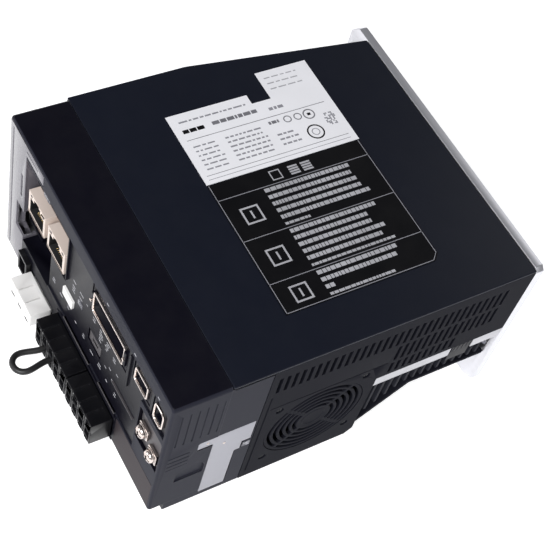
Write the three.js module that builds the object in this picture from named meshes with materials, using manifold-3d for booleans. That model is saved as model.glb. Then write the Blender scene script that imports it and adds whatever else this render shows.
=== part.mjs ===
// Servo drive, lying on its left side as on a bench.
// Millimetres. +X runs toward the drive's bottom end (the fan end), +Y from the connector
// front to the mounting back, +Z up out of its right side. The origin is the middle of
// the footprint, on the surface that it lies on.
import * as THREE from 'three';
import { mergeVertices } from 'three/addons/utils/BufferGeometryUtils.js';
import Module from 'manifold-3d';

const wasm = await Module();
wasm.setup();

// Driving dimensions
const HEIGHT = 150;
const WIDTH = 92;
const DEPTH = 172;
const PLUG_REACH = 10;
const FRONT_WIDTH = 85;
const WALL = 2.2;
const SHEET = 1.2;
const GAP = 0.3;
const BACK_PLATE = 4.3;
const BASE_PLATE = 6.3;
const FAN_SIZE = 50;
const FAN_THICKNESS = 15;
const WIRE_DIAMETER = 2.8;

// Main planes
const TOP_END = -HEIGHT / 2;
const FAN_END = HEIGHT / 2;
const BACK = (DEPTH + PLUG_REACH) / 2;
const FRONT = BACK - DEPTH;
const BODY_BACK = BACK - BACK_PLATE - GAP;
const FRONT_LEFT = WIDTH - FRONT_WIDTH;
const SIDE_TOP = WIDTH - 0.3;
const FRONT_JOINT = FRONT + 25;
const RECESS_FLOOR = FRONT + 9;
const SINK_TOP = 48;
const SINK_FACE = SINK_TOP - BASE_PLATE;
const TAPER_START = FRONT + 80;
const TAPERED_END = TOP_END + 12;
const DUCT_STEP_START = FRONT + 99;
const DUCT_STEP_END = FRONT + 127;
const DUCT_STEP_LEVEL = 23.5;
const PANEL_END = FRONT + 43;
const FAN_CENTRE_Y = FRONT + 73;
const FAN_CENTRE_Z = 35;
const POWER_BOARD = 56;
const CONTROL_BOARD = 76.5;
const BOARD = 1.6;

// ---------------------------------------------------------------- materials
function finish(colour, roughness, metalness) {
  return new THREE.MeshStandardMaterial({ color: colour, roughness, metalness });
}
const blackPaint = () => finish(0x1c1e26, 0.45, 0.1);
const greyPlastic = () => finish(0x3c3e44, 0.55, 0);
const blackPlastic = () => finish(0x17171b, 0.5, 0);
const lilacPlastic = () => finish(0xb4b2bc, 0.35, 0);
const creamPlastic = () => finish(0xcfc3b6, 0.5, 0);
const whitePlastic = () => finish(0xe6e4e0, 0.5, 0);
const aluminium = () => finish(0xc8c9ce, 0.4, 0.9);
const nickel = () => finish(0xc9bfb8, 0.25, 1);
const greenBoard = () => finish(0x1f5a3a, 0.6, 0);
const canSleeve = () => finish(0x22314f, 0.5, 0);
const blackEpoxy = () => finish(0x202022, 0.6, 0);
const clearSheet = () => finish(0xb9b7a8, 0.3, 0);
const whiteLabel = () => finish(0xe2e2e6, 0.6, 0);
const darkLabel = () => finish(0x101014, 0.6, 0);

// ---------------------------------------------------------------- solids
function solid(geometry) {
  const bare = geometry.clone();
  bare.deleteAttribute('normal');
  bare.deleteAttribute('uv');
  const merged = mergeVertices(bare, 1e-4);
  return new wasm.Manifold(new wasm.Mesh({
    numProp: 3,
    vertProperties: new Float32Array(merged.attributes.position.array),
    triVerts: new Uint32Array(merged.index.array),
  }));
}

function join(first, ...others) {
  return others.reduce((body, other) => body.add(other), first);
}

function cut(body, ...tools) {
  return tools.reduce((left, tool) => left.subtract(tool), body);
}

function box(x0, x1, y0, y1, z0, z1) {
  const geometry = new THREE.BoxGeometry(x1 - x0, y1 - y0, z1 - z0);
  geometry.translate((x0 + x1) / 2, (y0 + y1) / 2, (z0 + z1) / 2);
  return solid(geometry);
}

function outline(points) {
  return new THREE.Shape(points.map(([a, b]) => new THREE.Vector2(a, b)));
}

function rectangle(a0, a1, b0, b1, radius = 0) {
  if (radius === 0) {
    return outline([[a0, b0], [a1, b0], [a1, b1], [a0, b1]]);
  }
  const shape = new THREE.Shape();
  shape.absarc(a1 - radius, b0 + radius, radius, -Math.PI / 2, 0);
  shape.absarc(a1 - radius, b1 - radius, radius, 0, Math.PI / 2);
  shape.absarc(a0 + radius, b1 - radius, radius, Math.PI / 2, Math.PI);
  shape.absarc(a0 + radius, b0 + radius, radius, Math.PI, Math.PI * 1.5);
  return shape;
}

function circle(a, b, radius, sides = 32) {
  const angles = Array.from({ length: sides }, (_, side) => side * Math.PI * 2 / sides);
  return outline(angles.map((angle) => [a + radius * Math.cos(angle), b + radius * Math.sin(angle)]));
}

// A flat outline is swept along one axis. Its two numbers are the other two axes in order:
// (y, z) along X, (x, z) along Y and (x, y) along Z.
const SWEEPS = {
  x: new THREE.Matrix4().makeBasis(
    new THREE.Vector3(0, 1, 0), new THREE.Vector3(0, 0, 1), new THREE.Vector3(1, 0, 0)),
  y: new THREE.Matrix4().makeBasis(
    new THREE.Vector3(1, 0, 0), new THREE.Vector3(0, 0, 1), new THREE.Vector3(0, -1, 0)),
  z: new THREE.Matrix4(),
};

function sweep(axis, shape, from, to, curveSegments = 3) {
  const geometry = new THREE.ExtrudeGeometry(shape, {
    depth: to - from, bevelEnabled: false, curveSegments,
  });
  geometry.translate(0, 0, axis === 'y' ? -to : from);
  geometry.applyMatrix4(SWEEPS[axis]);
  return solid(geometry);
}

function pierced(axis, shape, holes, from, to) {
  return cut(sweep(axis, shape, from, to), ...holes.map((hole) => sweep(axis, hole, from - 1, to + 1)));
}

const ALONG = {
  x: new THREE.Euler(0, 0, -Math.PI / 2),
  y: new THREE.Euler(0, 0, 0),
  z: new THREE.Euler(Math.PI / 2, 0, 0),
};

function rod(axis, centre, length, radius, sides = 20) {
  const geometry = new THREE.CylinderGeometry(radius, radius, length, sides);
  geometry.applyMatrix4(new THREE.Matrix4().makeRotationFromEuler(ALONG[axis]));
  geometry.translate(...centre);
  return solid(geometry);
}

// ---------------------------------------------------------------- the assembly
const drive = new THREE.Group();

function add(name, shape, material) {
  const mesh = shape.getMesh();
  const geometry = new THREE.BufferGeometry();
  geometry.setAttribute('position', new THREE.BufferAttribute(mesh.vertProperties, 3));
  geometry.setIndex(new THREE.BufferAttribute(mesh.triVerts, 1));
  geometry.computeVertexNormals();
  const node = new THREE.Mesh(geometry, material);
  node.name = name;
  drive.add(node);
  return node;
}

// ---------------------------------------------------------------- front housing
// Openings in the front, as x0, x1, z0, z1. The two bays take the network jacks and the
// display, the small ones the signal connectors, and the left column the power plugs.
const BAY = [-57.1, -15.5, 50.5, 81];
const DISPLAY_BAY = [-57.1, -30, 27, 50.6];
const RELAY_OPENING = [-56.3, -46.5, 9.1, 22];
const IO_OPENING = [7, 40, 63, 80.5];
const SCALE_OPENING = [44.5, 59.5, 69, 81.5];
const ENCODER_OPENING = [61, 72.6, 67, 82];
const SAFETY_OPENING = [-15.8, -6, 42.5, 48.3];
const SERIAL_OPENING = [8, 20, 42, 50];
const CONTROL_OPENING = [-46.3, -23.9, 8.7, 17.8];
const POWER_OPENING = [-18.5, 38.6, 9.5, 24];
const EARTH_OPENING = [54.8, 73.2, 39.5, 62.5];
const LAMP_OPENING = [-3.3, 1.3, 52.1, 55.7];

// The cover hides the top strip of the front. Its lower edge has a notch for the display.
const COVER_EDGE = -57.5;
const COVER_SEAT_EDGE = COVER_EDGE + 0.4;
const COVER_SIDE = 89.4;
const COVER_NOTCH = [-65, COVER_EDGE, 29, 46];
const TOP_WALL_FRONT = FRONT + 6.4;
const SWITCH_X = -67;

// Outline of the earth bar's foot in the fan end, as (y, z).
const TEE = [[FRONT + 16.5, 54], [FRONT + 16.5, 48.5], [FRONT + 23.5, 48.5], [FRONT + 23.5, 5.5],
  [FRONT + 35.5, 5.5], [FRONT + 35.5, 34], [FRONT + 38, 34], [FRONT + 38, 40], [FRONT + 42, 40],
  [FRONT + 42, 54]];

function opening([x0, x1, z0, z1], y0, y1) {
  return box(x0, x1, y0, y1, z0, z1);
}

function frontHousing() {
  const outer = rectangle(TOP_END + 0.8, FAN_END, FRONT_LEFT, SIDE_TOP, 2);
  const shell = sweep('y', outer, FRONT, FRONT_JOINT - GAP);
  const inside = box(TOP_END + 3, FAN_END - WALL, FRONT + WALL, FRONT_JOINT + 1,
    FRONT_LEFT + WALL, SIDE_TOP - WALL);
  const lip = box(FAN_END - WALL, FAN_END - 0.2, FRONT_JOINT - 1, PANEL_END - GAP, 2.5, 90);
  const lipFoot = box(FAN_END - WALL, FAN_END - 0.2, FRONT + 7, FRONT_JOINT, 2.5, FRONT_LEFT + 3);
  const coverSeat = join(
    box(TOP_END, COVER_SEAT_EDGE, FRONT - 1, TOP_WALL_FRONT, FRONT_LEFT - 1, COVER_SIDE + GAP),
    box(TOP_END + 3, COVER_SEAT_EDGE, FRONT, RECESS_FLOOR, FRONT_LEFT + WALL, COVER_SIDE + GAP));
  const coverStrip = box(COVER_EDGE - 1, -40.7, FRONT - 1, FRONT + 2.6, 83.2, COVER_SIDE + GAP);
  const stripFloor = box(COVER_SEAT_EDGE, -39.8, FRONT + 2.6, FRONT + 4.4, 81.5, SIDE_TOP - 1);
  const seatFloor = box(TOP_END + 1, COVER_SEAT_EDGE + 0.5, RECESS_FLOOR, RECESS_FLOOR + 2,
    FRONT_LEFT + 1, SIDE_TOP - 1);
  const seatWall = box(COVER_SEAT_EDGE, COVER_SEAT_EDGE + 0.8, FRONT + 0.5, RECESS_FLOOR + 1,
    FRONT_LEFT + 1, DISPLAY_BAY[2]);
  const bays = [BAY, DISPLAY_BAY];
  const bayWalls = cut(
    join(...bays.map(([x0, x1, z0, z1]) => box(x0, x1 + 1.5, FRONT + 1, RECESS_FLOOR + 1.6,
      z0 - 1.5, z1 + 1.5))),
    ...bays.map((place) => opening(place, FRONT - 1, RECESS_FLOOR)));
  const bayStep = box(-55.5, BAY[1] + 0.1, FRONT + 5, RECESS_FLOOR + 1, 66.9, BAY[3] + 0.1);
  const openings = [...bays, RELAY_OPENING, IO_OPENING, SCALE_OPENING, ENCODER_OPENING, SAFETY_OPENING,
    SERIAL_OPENING, CONTROL_OPENING, POWER_OPENING, EARTH_OPENING, LAMP_OPENING];
  const hollow = cut(shell, inside, coverSeat, coverStrip,
    ...openings.map((place) => opening(place, FRONT - 1, FRONT + WALL + 1)));
  const whole = join(hollow, lip, lipFoot, stripFloor, seatFloor, seatWall, bayWalls, bayStep);
  const behindCover = box(SWITCH_X - 2.2, SWITCH_X + 2.2, RECESS_FLOOR - 1, RECESS_FLOOR + 3, 50.8, 65.7);
  const behindLamp = box(-46.3, -39.7, FRONT + 4, RECESS_FLOOR + 3, 70.7, 75.3);
  const behindJacks = box(-54.8, -17, RECESS_FLOOR - 1, RECESS_FLOOR + 3, 52.5, 67);
  const behindDisplay = box(-65.8, -50.7, RECESS_FLOOR - 1, RECESS_FLOOR + 3, 28.3, 46.7);
  const monitorHole = box(-71, -65, RECESS_FLOOR - 1, RECESS_FLOOR + 3, 70.2, 81.8);
  const earthCut = join(sweep('x', outline(TEE), FAN_END - 3, FAN_END + 1),
    sweep('x', outline(TEE.map(([y, z]) => [y + GAP, z + GAP])), FAN_END - 3, FAN_END + 1),
    sweep('x', outline(TEE.map(([y, z]) => [y - GAP, z - GAP])), FAN_END - 3, FAN_END + 1));
  return cut(whole, behindCover, behindLamp, behindJacks, behindDisplay, monitorHole, earthCut);
}
add('front_housing', frontHousing(), blackPlastic());

// ---------------------------------------------------------------- outer covers
function sideCover() {
  const shape = outline([[TOP_END, FRONT_JOINT], [TOP_END, TAPER_START], [TAPERED_END, BODY_BACK],
    [FAN_END, BODY_BACK], [FAN_END, FRONT_JOINT]]);
  const plate = sweep('z', shape, SIDE_TOP - SHEET, SIDE_TOP);
  const flange = box(TAPERED_END + 6, FAN_END - 4, BODY_BACK - SHEET, BODY_BACK, SIDE_TOP - 9, SIDE_TOP - 0.5);
  return join(plate, flange);
}
add('side_cover', sideCover(), blackPaint());

// Rows of slots that run across the width: first and last slot along Y, and the two ends in Z.
const SLOT_PITCH = 3.5;
const SLOT_WIDTH = 1.8;
const VENT_ROWS = [
  { first: FRONT + 47, last: FRONT + 156, low: 73, high: 84 },
  { first: FRONT + 106, last: FRONT + 156, low: 60, high: 71 },
  { first: FRONT + 106, last: FRONT + 139, low: 50.5, high: 58 },
];

function slotShapes(rows) {
  const shapes = [];
  for (const row of rows) {
    for (let y = row.first; y <= row.last + 0.01; y += SLOT_PITCH) {
      shapes.push(rectangle(y - SLOT_WIDTH / 2, y + SLOT_WIDTH / 2, row.low, row.high));
    }
  }
  return shapes;
}

// The fan end's panel: slots for the boards, and a round opening in front of the fan.
const GRILLE_RADIUS = 23.5;
function fanEndPanel() {
  const shape = outline([[PANEL_END, 2.5], [DUCT_STEP_START - 2, 2.5],
    [DUCT_STEP_START + 1.5, 5.8], [DUCT_STEP_START + 1.5, SINK_TOP + GAP],
    [BODY_BACK, SINK_TOP + GAP], [BODY_BACK, SIDE_TOP - SHEET - GAP], [PANEL_END, SIDE_TOP - SHEET - GAP]]);
  const fanOpening = circle(FAN_CENTRE_Y, FAN_CENTRE_Z, GRILLE_RADIUS + GAP, 40);
  return pierced('x', shape, [...slotShapes(VENT_ROWS), fanOpening], FAN_END - WALL, FAN_END);
}
add('fan_end_panel', fanEndPanel(), greyPlastic());

// Finger guard: rings on four arms, with a round middle.
function fingerGuard() {
  const disc = (radius) => circle(FAN_CENTRE_Y, FAN_CENTRE_Z, radius);
  const ring = (outer, inner) => pierced('x', disc(outer), [disc(inner)], FAN_END - WALL, FAN_END - 0.2);
  const arm = (angle) => {
    const half = 0.9;
    const geometry = new THREE.BoxGeometry(WALL - 0.2, GRILLE_RADIUS - 8, 2 * half);
    geometry.translate(0, (GRILLE_RADIUS + 6) / 2, 0);
    geometry.rotateX(angle);
    geometry.translate(FAN_END - WALL / 2 - 0.1, FAN_CENTRE_Y, FAN_CENTRE_Z);
    return solid(geometry);
  };
  const rings = [];
  for (let step = 0; step < 4; step += 1) {
    const outer = GRILLE_RADIUS - step * 4.1;
    rings.push(ring(outer, outer - 1.5));
  }
  const arms = [0, 1, 2, 3].map((turn) => arm(Math.PI / 4 + turn * Math.PI / 2));
  return join(sweep('x', disc(8.2), FAN_END - WALL, FAN_END - 0.2), ...rings, ...arms);
}
add('finger_guard', fingerGuard(), greyPlastic());

// Top end: a flat wall that leans inward behind the taper, with its own row of slots.
const LEANING_WALL = [[TOP_END, FRONT_JOINT], [TOP_END + WALL, FRONT_JOINT], [TOP_END + WALL, TAPER_START],
  [TAPERED_END + WALL, BODY_BACK], [TAPERED_END, BODY_BACK], [TOP_END, TAPER_START]];
function topEndPanel() {
  const panel = sweep('z', outline(LEANING_WALL), SINK_TOP + GAP, SIDE_TOP - SHEET - GAP);
  const slots = [];
  for (let y = FRONT_JOINT + 8; y < BODY_BACK - 14; y += SLOT_PITCH * 2) {
    slots.push(box(TOP_END - 1, TAPERED_END + 4, y, y + SLOT_WIDTH * 1.4, 60, 84));
  }
  return cut(panel, ...slots);
}
add('top_end_panel', topEndPanel(), greyPlastic());

// The duct cover is the left side: a channel round the fins, shallower toward the back.
function ductCover() {
  const skin = outline([[FRONT + 6, 6], [FRONT + 6, 2.5], [FRONT + 8.5, 0], [DUCT_STEP_START, 0],
    [DUCT_STEP_END, DUCT_STEP_LEVEL], [BODY_BACK, DUCT_STEP_LEVEL],
    [BODY_BACK, DUCT_STEP_LEVEL + 2], [DUCT_STEP_END - 0.8, DUCT_STEP_LEVEL + 2],
    [DUCT_STEP_START - 0.8, 2], [FRONT + 9, 2], [FRONT + 8, 6]]);
  const channel = cut(sweep('x', skin, TOP_END, FAN_END - WALL - GAP),
    sweep('z', outline([[TOP_END - 1, TAPER_START], [TOP_END, TAPER_START], [TAPERED_END, BODY_BACK],
      [TAPERED_END, BODY_BACK + 1], [TOP_END - 1, BODY_BACK + 1]]), -1, SINK_FACE));
  const endWall = outline([[FRONT_JOINT, 1], [DUCT_STEP_START - 0.5, 1], [DUCT_STEP_END - 0.5, DUCT_STEP_LEVEL + 1],
    [BODY_BACK, DUCT_STEP_LEVEL + 1], [BODY_BACK, SINK_FACE - GAP], [FRONT_JOINT, SINK_FACE - GAP]]);
  const outlets = [];
  for (let y = -44; y < BODY_BACK - 12; y += 8) {
    outlets.push(rectangle(y, y + 5, y < 14 ? 8 : 29, SINK_FACE - 5));
  }
  const outlet = pierced('x', endWall, outlets, TOP_END, TAPERED_END + WALL)
    .intersect(sweep('z', outline(LEANING_WALL), 0, SINK_FACE));
  const rail = box(TOP_END + 1, FAN_END - 16.5, FRONT_JOINT, FRONT_JOINT + 2, 1, SINK_FACE - GAP);
  return join(channel, outlet, rail);
}
add('duct_cover', ductCover(), greyPlastic());

// ---------------------------------------------------------------- metal structure
// Mounting plate across the back, with four plain holes.
const BACK_HOLES = [[-69, 30], [-69, 80], [69, 30], [69, 80]];
function backPlate() {
  const shape = outline([[TOP_END, 4], [TOP_END + 4, 0.4], [FAN_END - 4, 0.4], [FAN_END, 4],
    [FAN_END, SIDE_TOP - 2], [FAN_END - 2, SIDE_TOP], [TOP_END + 5, SIDE_TOP], [TOP_END, SIDE_TOP - 5]]);
  return pierced('y', shape, BACK_HOLES.map(([x, z]) => circle(x, z, 2.6, 16)), BACK - BACK_PLATE, BACK);
}
add('back_plate', backPlate(), aluminium());

// Heat sink: one thick base between the boards and the air duct, with fins along the air flow.
const FAN_FACE = FAN_END - WALL - GAP - FAN_THICKNESS;
const NOTCH_START = FRONT + 140;
const NOTCH_END = FRONT + 152;
const NOTCH_DEPTH = 6;
const FIN_PITCH = 4.3;
const FIN = 1.4;
function heatSink() {
  const base = sweep('z', outline([[TOP_END + GAP, FRONT_JOINT + 3], [FAN_FACE - GAP, FRONT_JOINT + 3],
    [FAN_FACE - GAP, DUCT_STEP_START + 2], [FAN_END - 0.2, DUCT_STEP_START + 2], [FAN_END - 0.2, NOTCH_START],
    [FAN_END - NOTCH_DEPTH, NOTCH_START], [FAN_END - NOTCH_DEPTH, NOTCH_END], [FAN_END - 0.2, NOTCH_END],
    [FAN_END - 0.2, BODY_BACK], [TAPERED_END + GAP, BODY_BACK], [TOP_END + GAP, TAPER_START]]),
    SINK_FACE, SINK_TOP);
  const fins = [];
  for (let y = FRONT_JOINT + 8; y < BODY_BACK - 4; y += FIN_PITCH) {
    const deep = y < DUCT_STEP_START - 2;
    const slope = DUCT_STEP_LEVEL * (y - DUCT_STEP_START) / (DUCT_STEP_END - DUCT_STEP_START);
    const low = deep ? 4.5 : Math.min(DUCT_STEP_LEVEL + 3, slope + 7);
    const end = y < DUCT_STEP_START + 2 ? FAN_FACE - 2 : FAN_END - 3;
    const start = TOP_END + WALL + 2 + Math.max(0, (y + FIN - TAPER_START) * 12 / (BODY_BACK - TAPER_START));
    fins.push(box(start, end, y, y + FIN, low, SINK_FACE + 0.5));
  }
  return join(base, ...fins);
}
add('heat_sink', heatSink(), aluminium());

// A plastic clip in the base plate's notch holds the end panel's edge.
add('panel_clip', box(FAN_END - NOTCH_DEPTH + GAP, FAN_END - 0.4, NOTCH_START + GAP, NOTCH_END - GAP,
  SINK_FACE + 0.8, SINK_TOP), blackPlastic());

// Earth bar: its T-shaped foot lies in the fan end, and its front pad carries two screws.
function earthBar() {
  const tee = sweep('x', outline(TEE), FAN_END - 2.6, FAN_END - 0.2);
  const pad = box(55.2, 72.5, FRONT + 1.4, FRONT + 4, 39.8, 62.2);
  const web = box(FAN_END - 7, FAN_END - 4.5, FRONT + 3, FRONT + 30, 48.7, 53.8);
  const knee = box(FAN_END - 7, FAN_END - 2, FRONT + 22, FRONT + 30, 48.7, 53.8);
  return join(tee, pad, web, knee);
}
add('earth_bar', earthBar(), aluminium());

const EARTH_SCREWS = [['earth_screw_upper', 60, 51.5], ['earth_screw_lower', 68.6, 46.5]];
for (const [name, x, z] of EARTH_SCREWS) {
  const washer = box(x - 3.6, x + 3.6, FRONT - 0.2, FRONT + 1.1, z - 3.6, z + 3.6);
  const head = rod('y', [x, FRONT - 1.2, z], 2.6, 2.9, 16);
  const slot = box(x - 3, x + 3, FRONT - 3, FRONT - 1.6, z - 0.4, z + 0.4);
  add(name, cut(join(washer, head), slot), nickel());
}

// ---------------------------------------------------------------- fan
function fanFrame() {
  const square = rectangle(FAN_CENTRE_Y - FAN_SIZE / 2, FAN_CENTRE_Y + FAN_SIZE / 2,
    FAN_CENTRE_Z - FAN_SIZE / 2, FAN_CENTRE_Z + FAN_SIZE / 2, 3);
  const holes = [circle(FAN_CENTRE_Y, FAN_CENTRE_Z, 23.8)];
  for (const [a, b] of [[-20, -20], [20, -20], [-20, 20], [20, 20]]) {
    holes.push(circle(FAN_CENTRE_Y + a, FAN_CENTRE_Z + b, 2.1, 12));
  }
  const frame = pierced('x', square, holes, FAN_FACE, FAN_FACE + FAN_THICKNESS);
  const hub = rod('x', [FAN_FACE + 1, FAN_CENTRE_Y, FAN_CENTRE_Z], 2, 9, 20);
  const struts = [0, 1, 2].map((turn) => {
    const geometry = new THREE.BoxGeometry(2, 24.4, 2.4);
    geometry.translate(0, 12.2, 0);
    geometry.rotateX(turn * Math.PI * 2 / 3 + 0.4);
    geometry.translate(FAN_FACE + 1, FAN_CENTRE_Y, FAN_CENTRE_Z);
    return solid(geometry);
  });
  const bore = rod('x', [FAN_FACE + 2, FAN_CENTRE_Y, FAN_CENTRE_Z], 8, 1.6, 12);
  return cut(join(frame, hub, ...struts), bore);
}
add('fan_frame', fanFrame(), blackPlastic());

// Seven twisted blades on a hub cup, turning on a pin in the frame's bore.
const BLADES = 7;
function fanRotor() {
  const hub = rod('x', [FAN_FACE + 8.5, FAN_CENTRE_Y, FAN_CENTRE_Z], 11, 10, 24);
  const pin = rod('x', [FAN_FACE + 3, FAN_CENTRE_Y, FAN_CENTRE_Z], 5, 1.2, 12);
  const blades = [];
  for (let index = 0; index < BLADES; index += 1) {
    const geometry = new THREE.BoxGeometry(9.5, 13.6, 1.2);
    geometry.rotateY(0.75);
    geometry.translate(0, 9.2 + 6.8, 0);
    geometry.rotateX(index * Math.PI * 2 / BLADES);
    geometry.translate(FAN_FACE + 8.5, FAN_CENTRE_Y, FAN_CENTRE_Z);
    blades.push(solid(geometry));
  }
  return join(hub, pin, ...blades);
}
add('fan_rotor', fanRotor(), blackPlastic());

// ---------------------------------------------------------------- operation cover
// The cover swings on a pin along the top edge, and hides the address switches.
const HINGE_X = TOP_END + 2.6;
const HINGE_Y = FRONT + 4.2;
function operationCover() {
  const low = FRONT_LEFT + 0.3;
  const skinShape = outline([[HINGE_X - 1.6, low], [COVER_EDGE, low], [COVER_EDGE, 83.6], [-41, 83.6],
    [-41, COVER_SIDE], [HINGE_X - 1.6, COVER_SIDE]]);
  const [x0, x1, z0, z1] = COVER_NOTCH;
  const skin = cut(sweep('y', skinShape, FRONT, FRONT + 2), box(x0, x1 + 1, FRONT - 1, FRONT + 3, z0, z1));
  const edge = join(
    box(COVER_EDGE - 1.6, COVER_EDGE, FRONT, FRONT + 6.8, FRONT_LEFT + WALL + GAP, z0 - 0.8),
    box(COVER_EDGE - 1.6, COVER_EDGE, FRONT, FRONT + 6.8, z1 + 0.8, 82));
  const barrel = rod('z', [HINGE_X, HINGE_Y, (low + COVER_SIDE) / 2], COVER_SIDE - low - 6, 1.7, 16);
  const knuckles = box(HINGE_X - 1.6, HINGE_X + 1.2, FRONT + 1, HINGE_Y, low + 3, COVER_SIDE - 3);
  const bore = rod('z', [HINGE_X, HINGE_Y, WIDTH / 2], WIDTH + 20, 1, 12);
  return cut(join(skin, edge, barrel, knuckles), bore);
}
add('operation_cover', operationCover(), lilacPlastic());
add('cover_pin', rod('z', [HINGE_X, HINGE_Y, (FRONT_LEFT + COVER_SIDE) / 2], COVER_SIDE - FRONT_LEFT - 1, 0.7, 10),
  nickel());

// Two address switches: square bodies with a round dial that turns with a screwdriver.
const DIALS = [['units', 53], ['tens', 63.5]];
for (const [name, z] of DIALS) {
  const housing = cut(box(SWITCH_X - 4.6, SWITCH_X + 4.6, RECESS_FLOOR + 2.3, RECESS_FLOOR + 7, z - 4.6, z + 4.6),
    rod('y', [SWITCH_X, RECESS_FLOOR + 3, z], 6, 2.1, 16));
  add(`address_switch_${name}`, housing, blackPlastic());
  const dial = cut(rod('y', [SWITCH_X, RECESS_FLOOR + 2, z], 6.4, 1.75, 16),
    box(SWITCH_X - 1.3, SWITCH_X + 1.3, RECESS_FLOOR - 2, RECESS_FLOOR - 0.6, z - 0.35, z + 0.35));
  add(`address_dial_${name}`, dial, creamPlastic());
}
add('monitor_socket', cut(box(-70.7, -65.3, RECESS_FLOOR - 2, RECESS_FLOOR + 8, 70.5, 81.5),
  box(-69.7, -66.3, RECESS_FLOOR - 3, RECESS_FLOOR + 6, 71.5, 80.5)), whitePlastic());

// ---------------------------------------------------------------- front connectors
function displayModule() {
  const body = box(-65.5, -51, RECESS_FLOOR - 2.5, RECESS_FLOOR + 6, 28.6, 46.4);
  const windowCut = box(-64.2, -52.3, RECESS_FLOOR - 3.5, RECESS_FLOOR - 1.5, 30, 45);
  return cut(body, windowCut);
}
add('display_module', displayModule(), blackPlastic());

function networkJack(x0, x1) {
  const body = box(x0, x1, FRONT + 0.2, FRONT + 20, 53, 66.4);
  const mouth = box(x0 + 1.8, x1 - 1.8, FRONT - 1, FRONT + 13, 54.4, 63);
  const latchWay = box((x0 + x1) / 2 - 3, (x0 + x1) / 2 + 3, FRONT - 1, FRONT + 13, 62, 65.2);
  return cut(body, mouth, latchWay);
}
add('network_jack_in', networkJack(-53.8, -37), creamPlastic());
add('network_jack_out', networkJack(-34, -17.3), creamPlastic());

add('status_lamp_guide', box(-46, -40, FRONT + 3, FRONT + 14.8, 71, 75), clearSheet());

// A metal-shelled socket: a hollow tongue way in a block, with a thin shell round it.
function shelledSocket([x0, x1, z0, z1], depth) {
  const block = box(x0 + 0.6, x1 - 0.6, FRONT + 1, FRONT + depth, z0 + 0.6, z1 - 0.6);
  const way = box(x0 + 3.2, x1 - 3.2, FRONT - 1, FRONT + depth - 3, z0 + 3, z1 - 3);
  return cut(block, way);
}

function socketTongue([x0, x1, z0, z1], depth) {
  const middle = (z0 + z1) / 2;
  return box(x0 + 5, x1 - 5, FRONT + 2, FRONT + depth - 2, middle - 0.8, middle + 0.8);
}
add('io_socket', join(shelledSocket(IO_OPENING, 16), socketTongue(IO_OPENING, 16)), blackPlastic());
add('scale_socket', shelledSocket(SCALE_OPENING, 14), blackPlastic());
add('encoder_socket', shelledSocket(ENCODER_OPENING, 14), blackPlastic());

function metalShell([x0, x1, z0, z1], inset) {
  const outer = rectangle(x0 + inset, x1 - inset, z0 + inset, z1 - inset, 1.2);
  const inner = rectangle(x0 + inset + 0.7, x1 - inset - 0.7, z0 + inset + 0.7, z1 - inset - 0.7, 0.6);
  return pierced('y', outer, [inner], FRONT - 0.2, FRONT + 0.7);
}
add('io_shell', metalShell(IO_OPENING, 2.4), nickel());
add('scale_shell', metalShell(SCALE_OPENING, 2), nickel());
add('encoder_shell', metalShell(ENCODER_OPENING, 2), nickel());
add('serial_port', shelledSocket([8.3, 19.7, 42.3, 49.7], 10), nickel());
add('safety_socket', cut(box(-15.5, -6.3, FRONT - 0.4, FRONT + 12, 42.8, 48),
  box(-14.3, -7.5, FRONT - 1, FRONT + 8, 44, 46.8)), whitePlastic());
add('relay_socket', cut(box(-56, -46.8, FRONT - 2.4, FRONT + 8, 9.4, 21.7),
  box(-54.4, -48.4, FRONT - 3, FRONT + 6, 11, 20.1)), blackPlastic());

// ---------------------------------------------------------------- power connectors
// Each header is a trough fixed to the power board, and its plug slides into it.
function header(x0, x1, z0, z1) {
  const body = box(x0, x1, FRONT + WALL + GAP, FRONT + 22, z0, z1);
  const trough = box(x0 + 1.4, x1 - 1.4, FRONT, FRONT + 19, z0 + 1.4, z1 - 1.4);
  return cut(body, trough);
}

const PLUG_TAIL_LOW = 11.6;
const PLUG_TOP = 24;
const WIRE_WAY = 3.9;
// A plug body with rows of wire entries in its face, each row as its two ends in Z and its depth.
function plug(x0, x1, z1, poles, rows) {
  const face = FRONT - PLUG_REACH;
  const tail = box(x0 + 1.8, x1 - 1.8, FRONT - 0.5, FRONT + 16, PLUG_TAIL_LOW, z1 - 2.2);
  const head = box(x0, x1, face, FRONT - GAP, 9, z1);
  const pitch = (x1 - x0) / poles;
  const entries = [];
  for (let pole = 0; pole < poles; pole += 1) {
    const x = x0 + pitch * (pole + 0.5);
    for (const [low, high, depth] of rows) {
      entries.push(box(x - WIRE_WAY / 2, x + WIRE_WAY / 2, face - 1, face + depth, low, high));
    }
  }
  return cut(join(head, tail), ...entries);
}
const POWER_ROWS = [[11.6, 16.4, 6], [18, 22.2, 2]];
add('control_header', header(-46, -24.2, 9.4, 17.2), blackPlastic());
add('control_plug', plug(-46, -24.2, 17.5, 3, [[11.2, 15.2, 6]]), whitePlastic());
add('mains_header', header(-18.2, 12.6, 9.8, 23.7), blackPlastic());
add('mains_plug', plug(-18.2, 12.6, PLUG_TOP, 5, POWER_ROWS), blackPlastic());
add('motor_header', header(13.4, 38.3, 9.8, 23.7), blackPlastic());
add('motor_plug', plug(13.4, 38.3, PLUG_TOP, 4, POWER_ROWS), blackPlastic());

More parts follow.
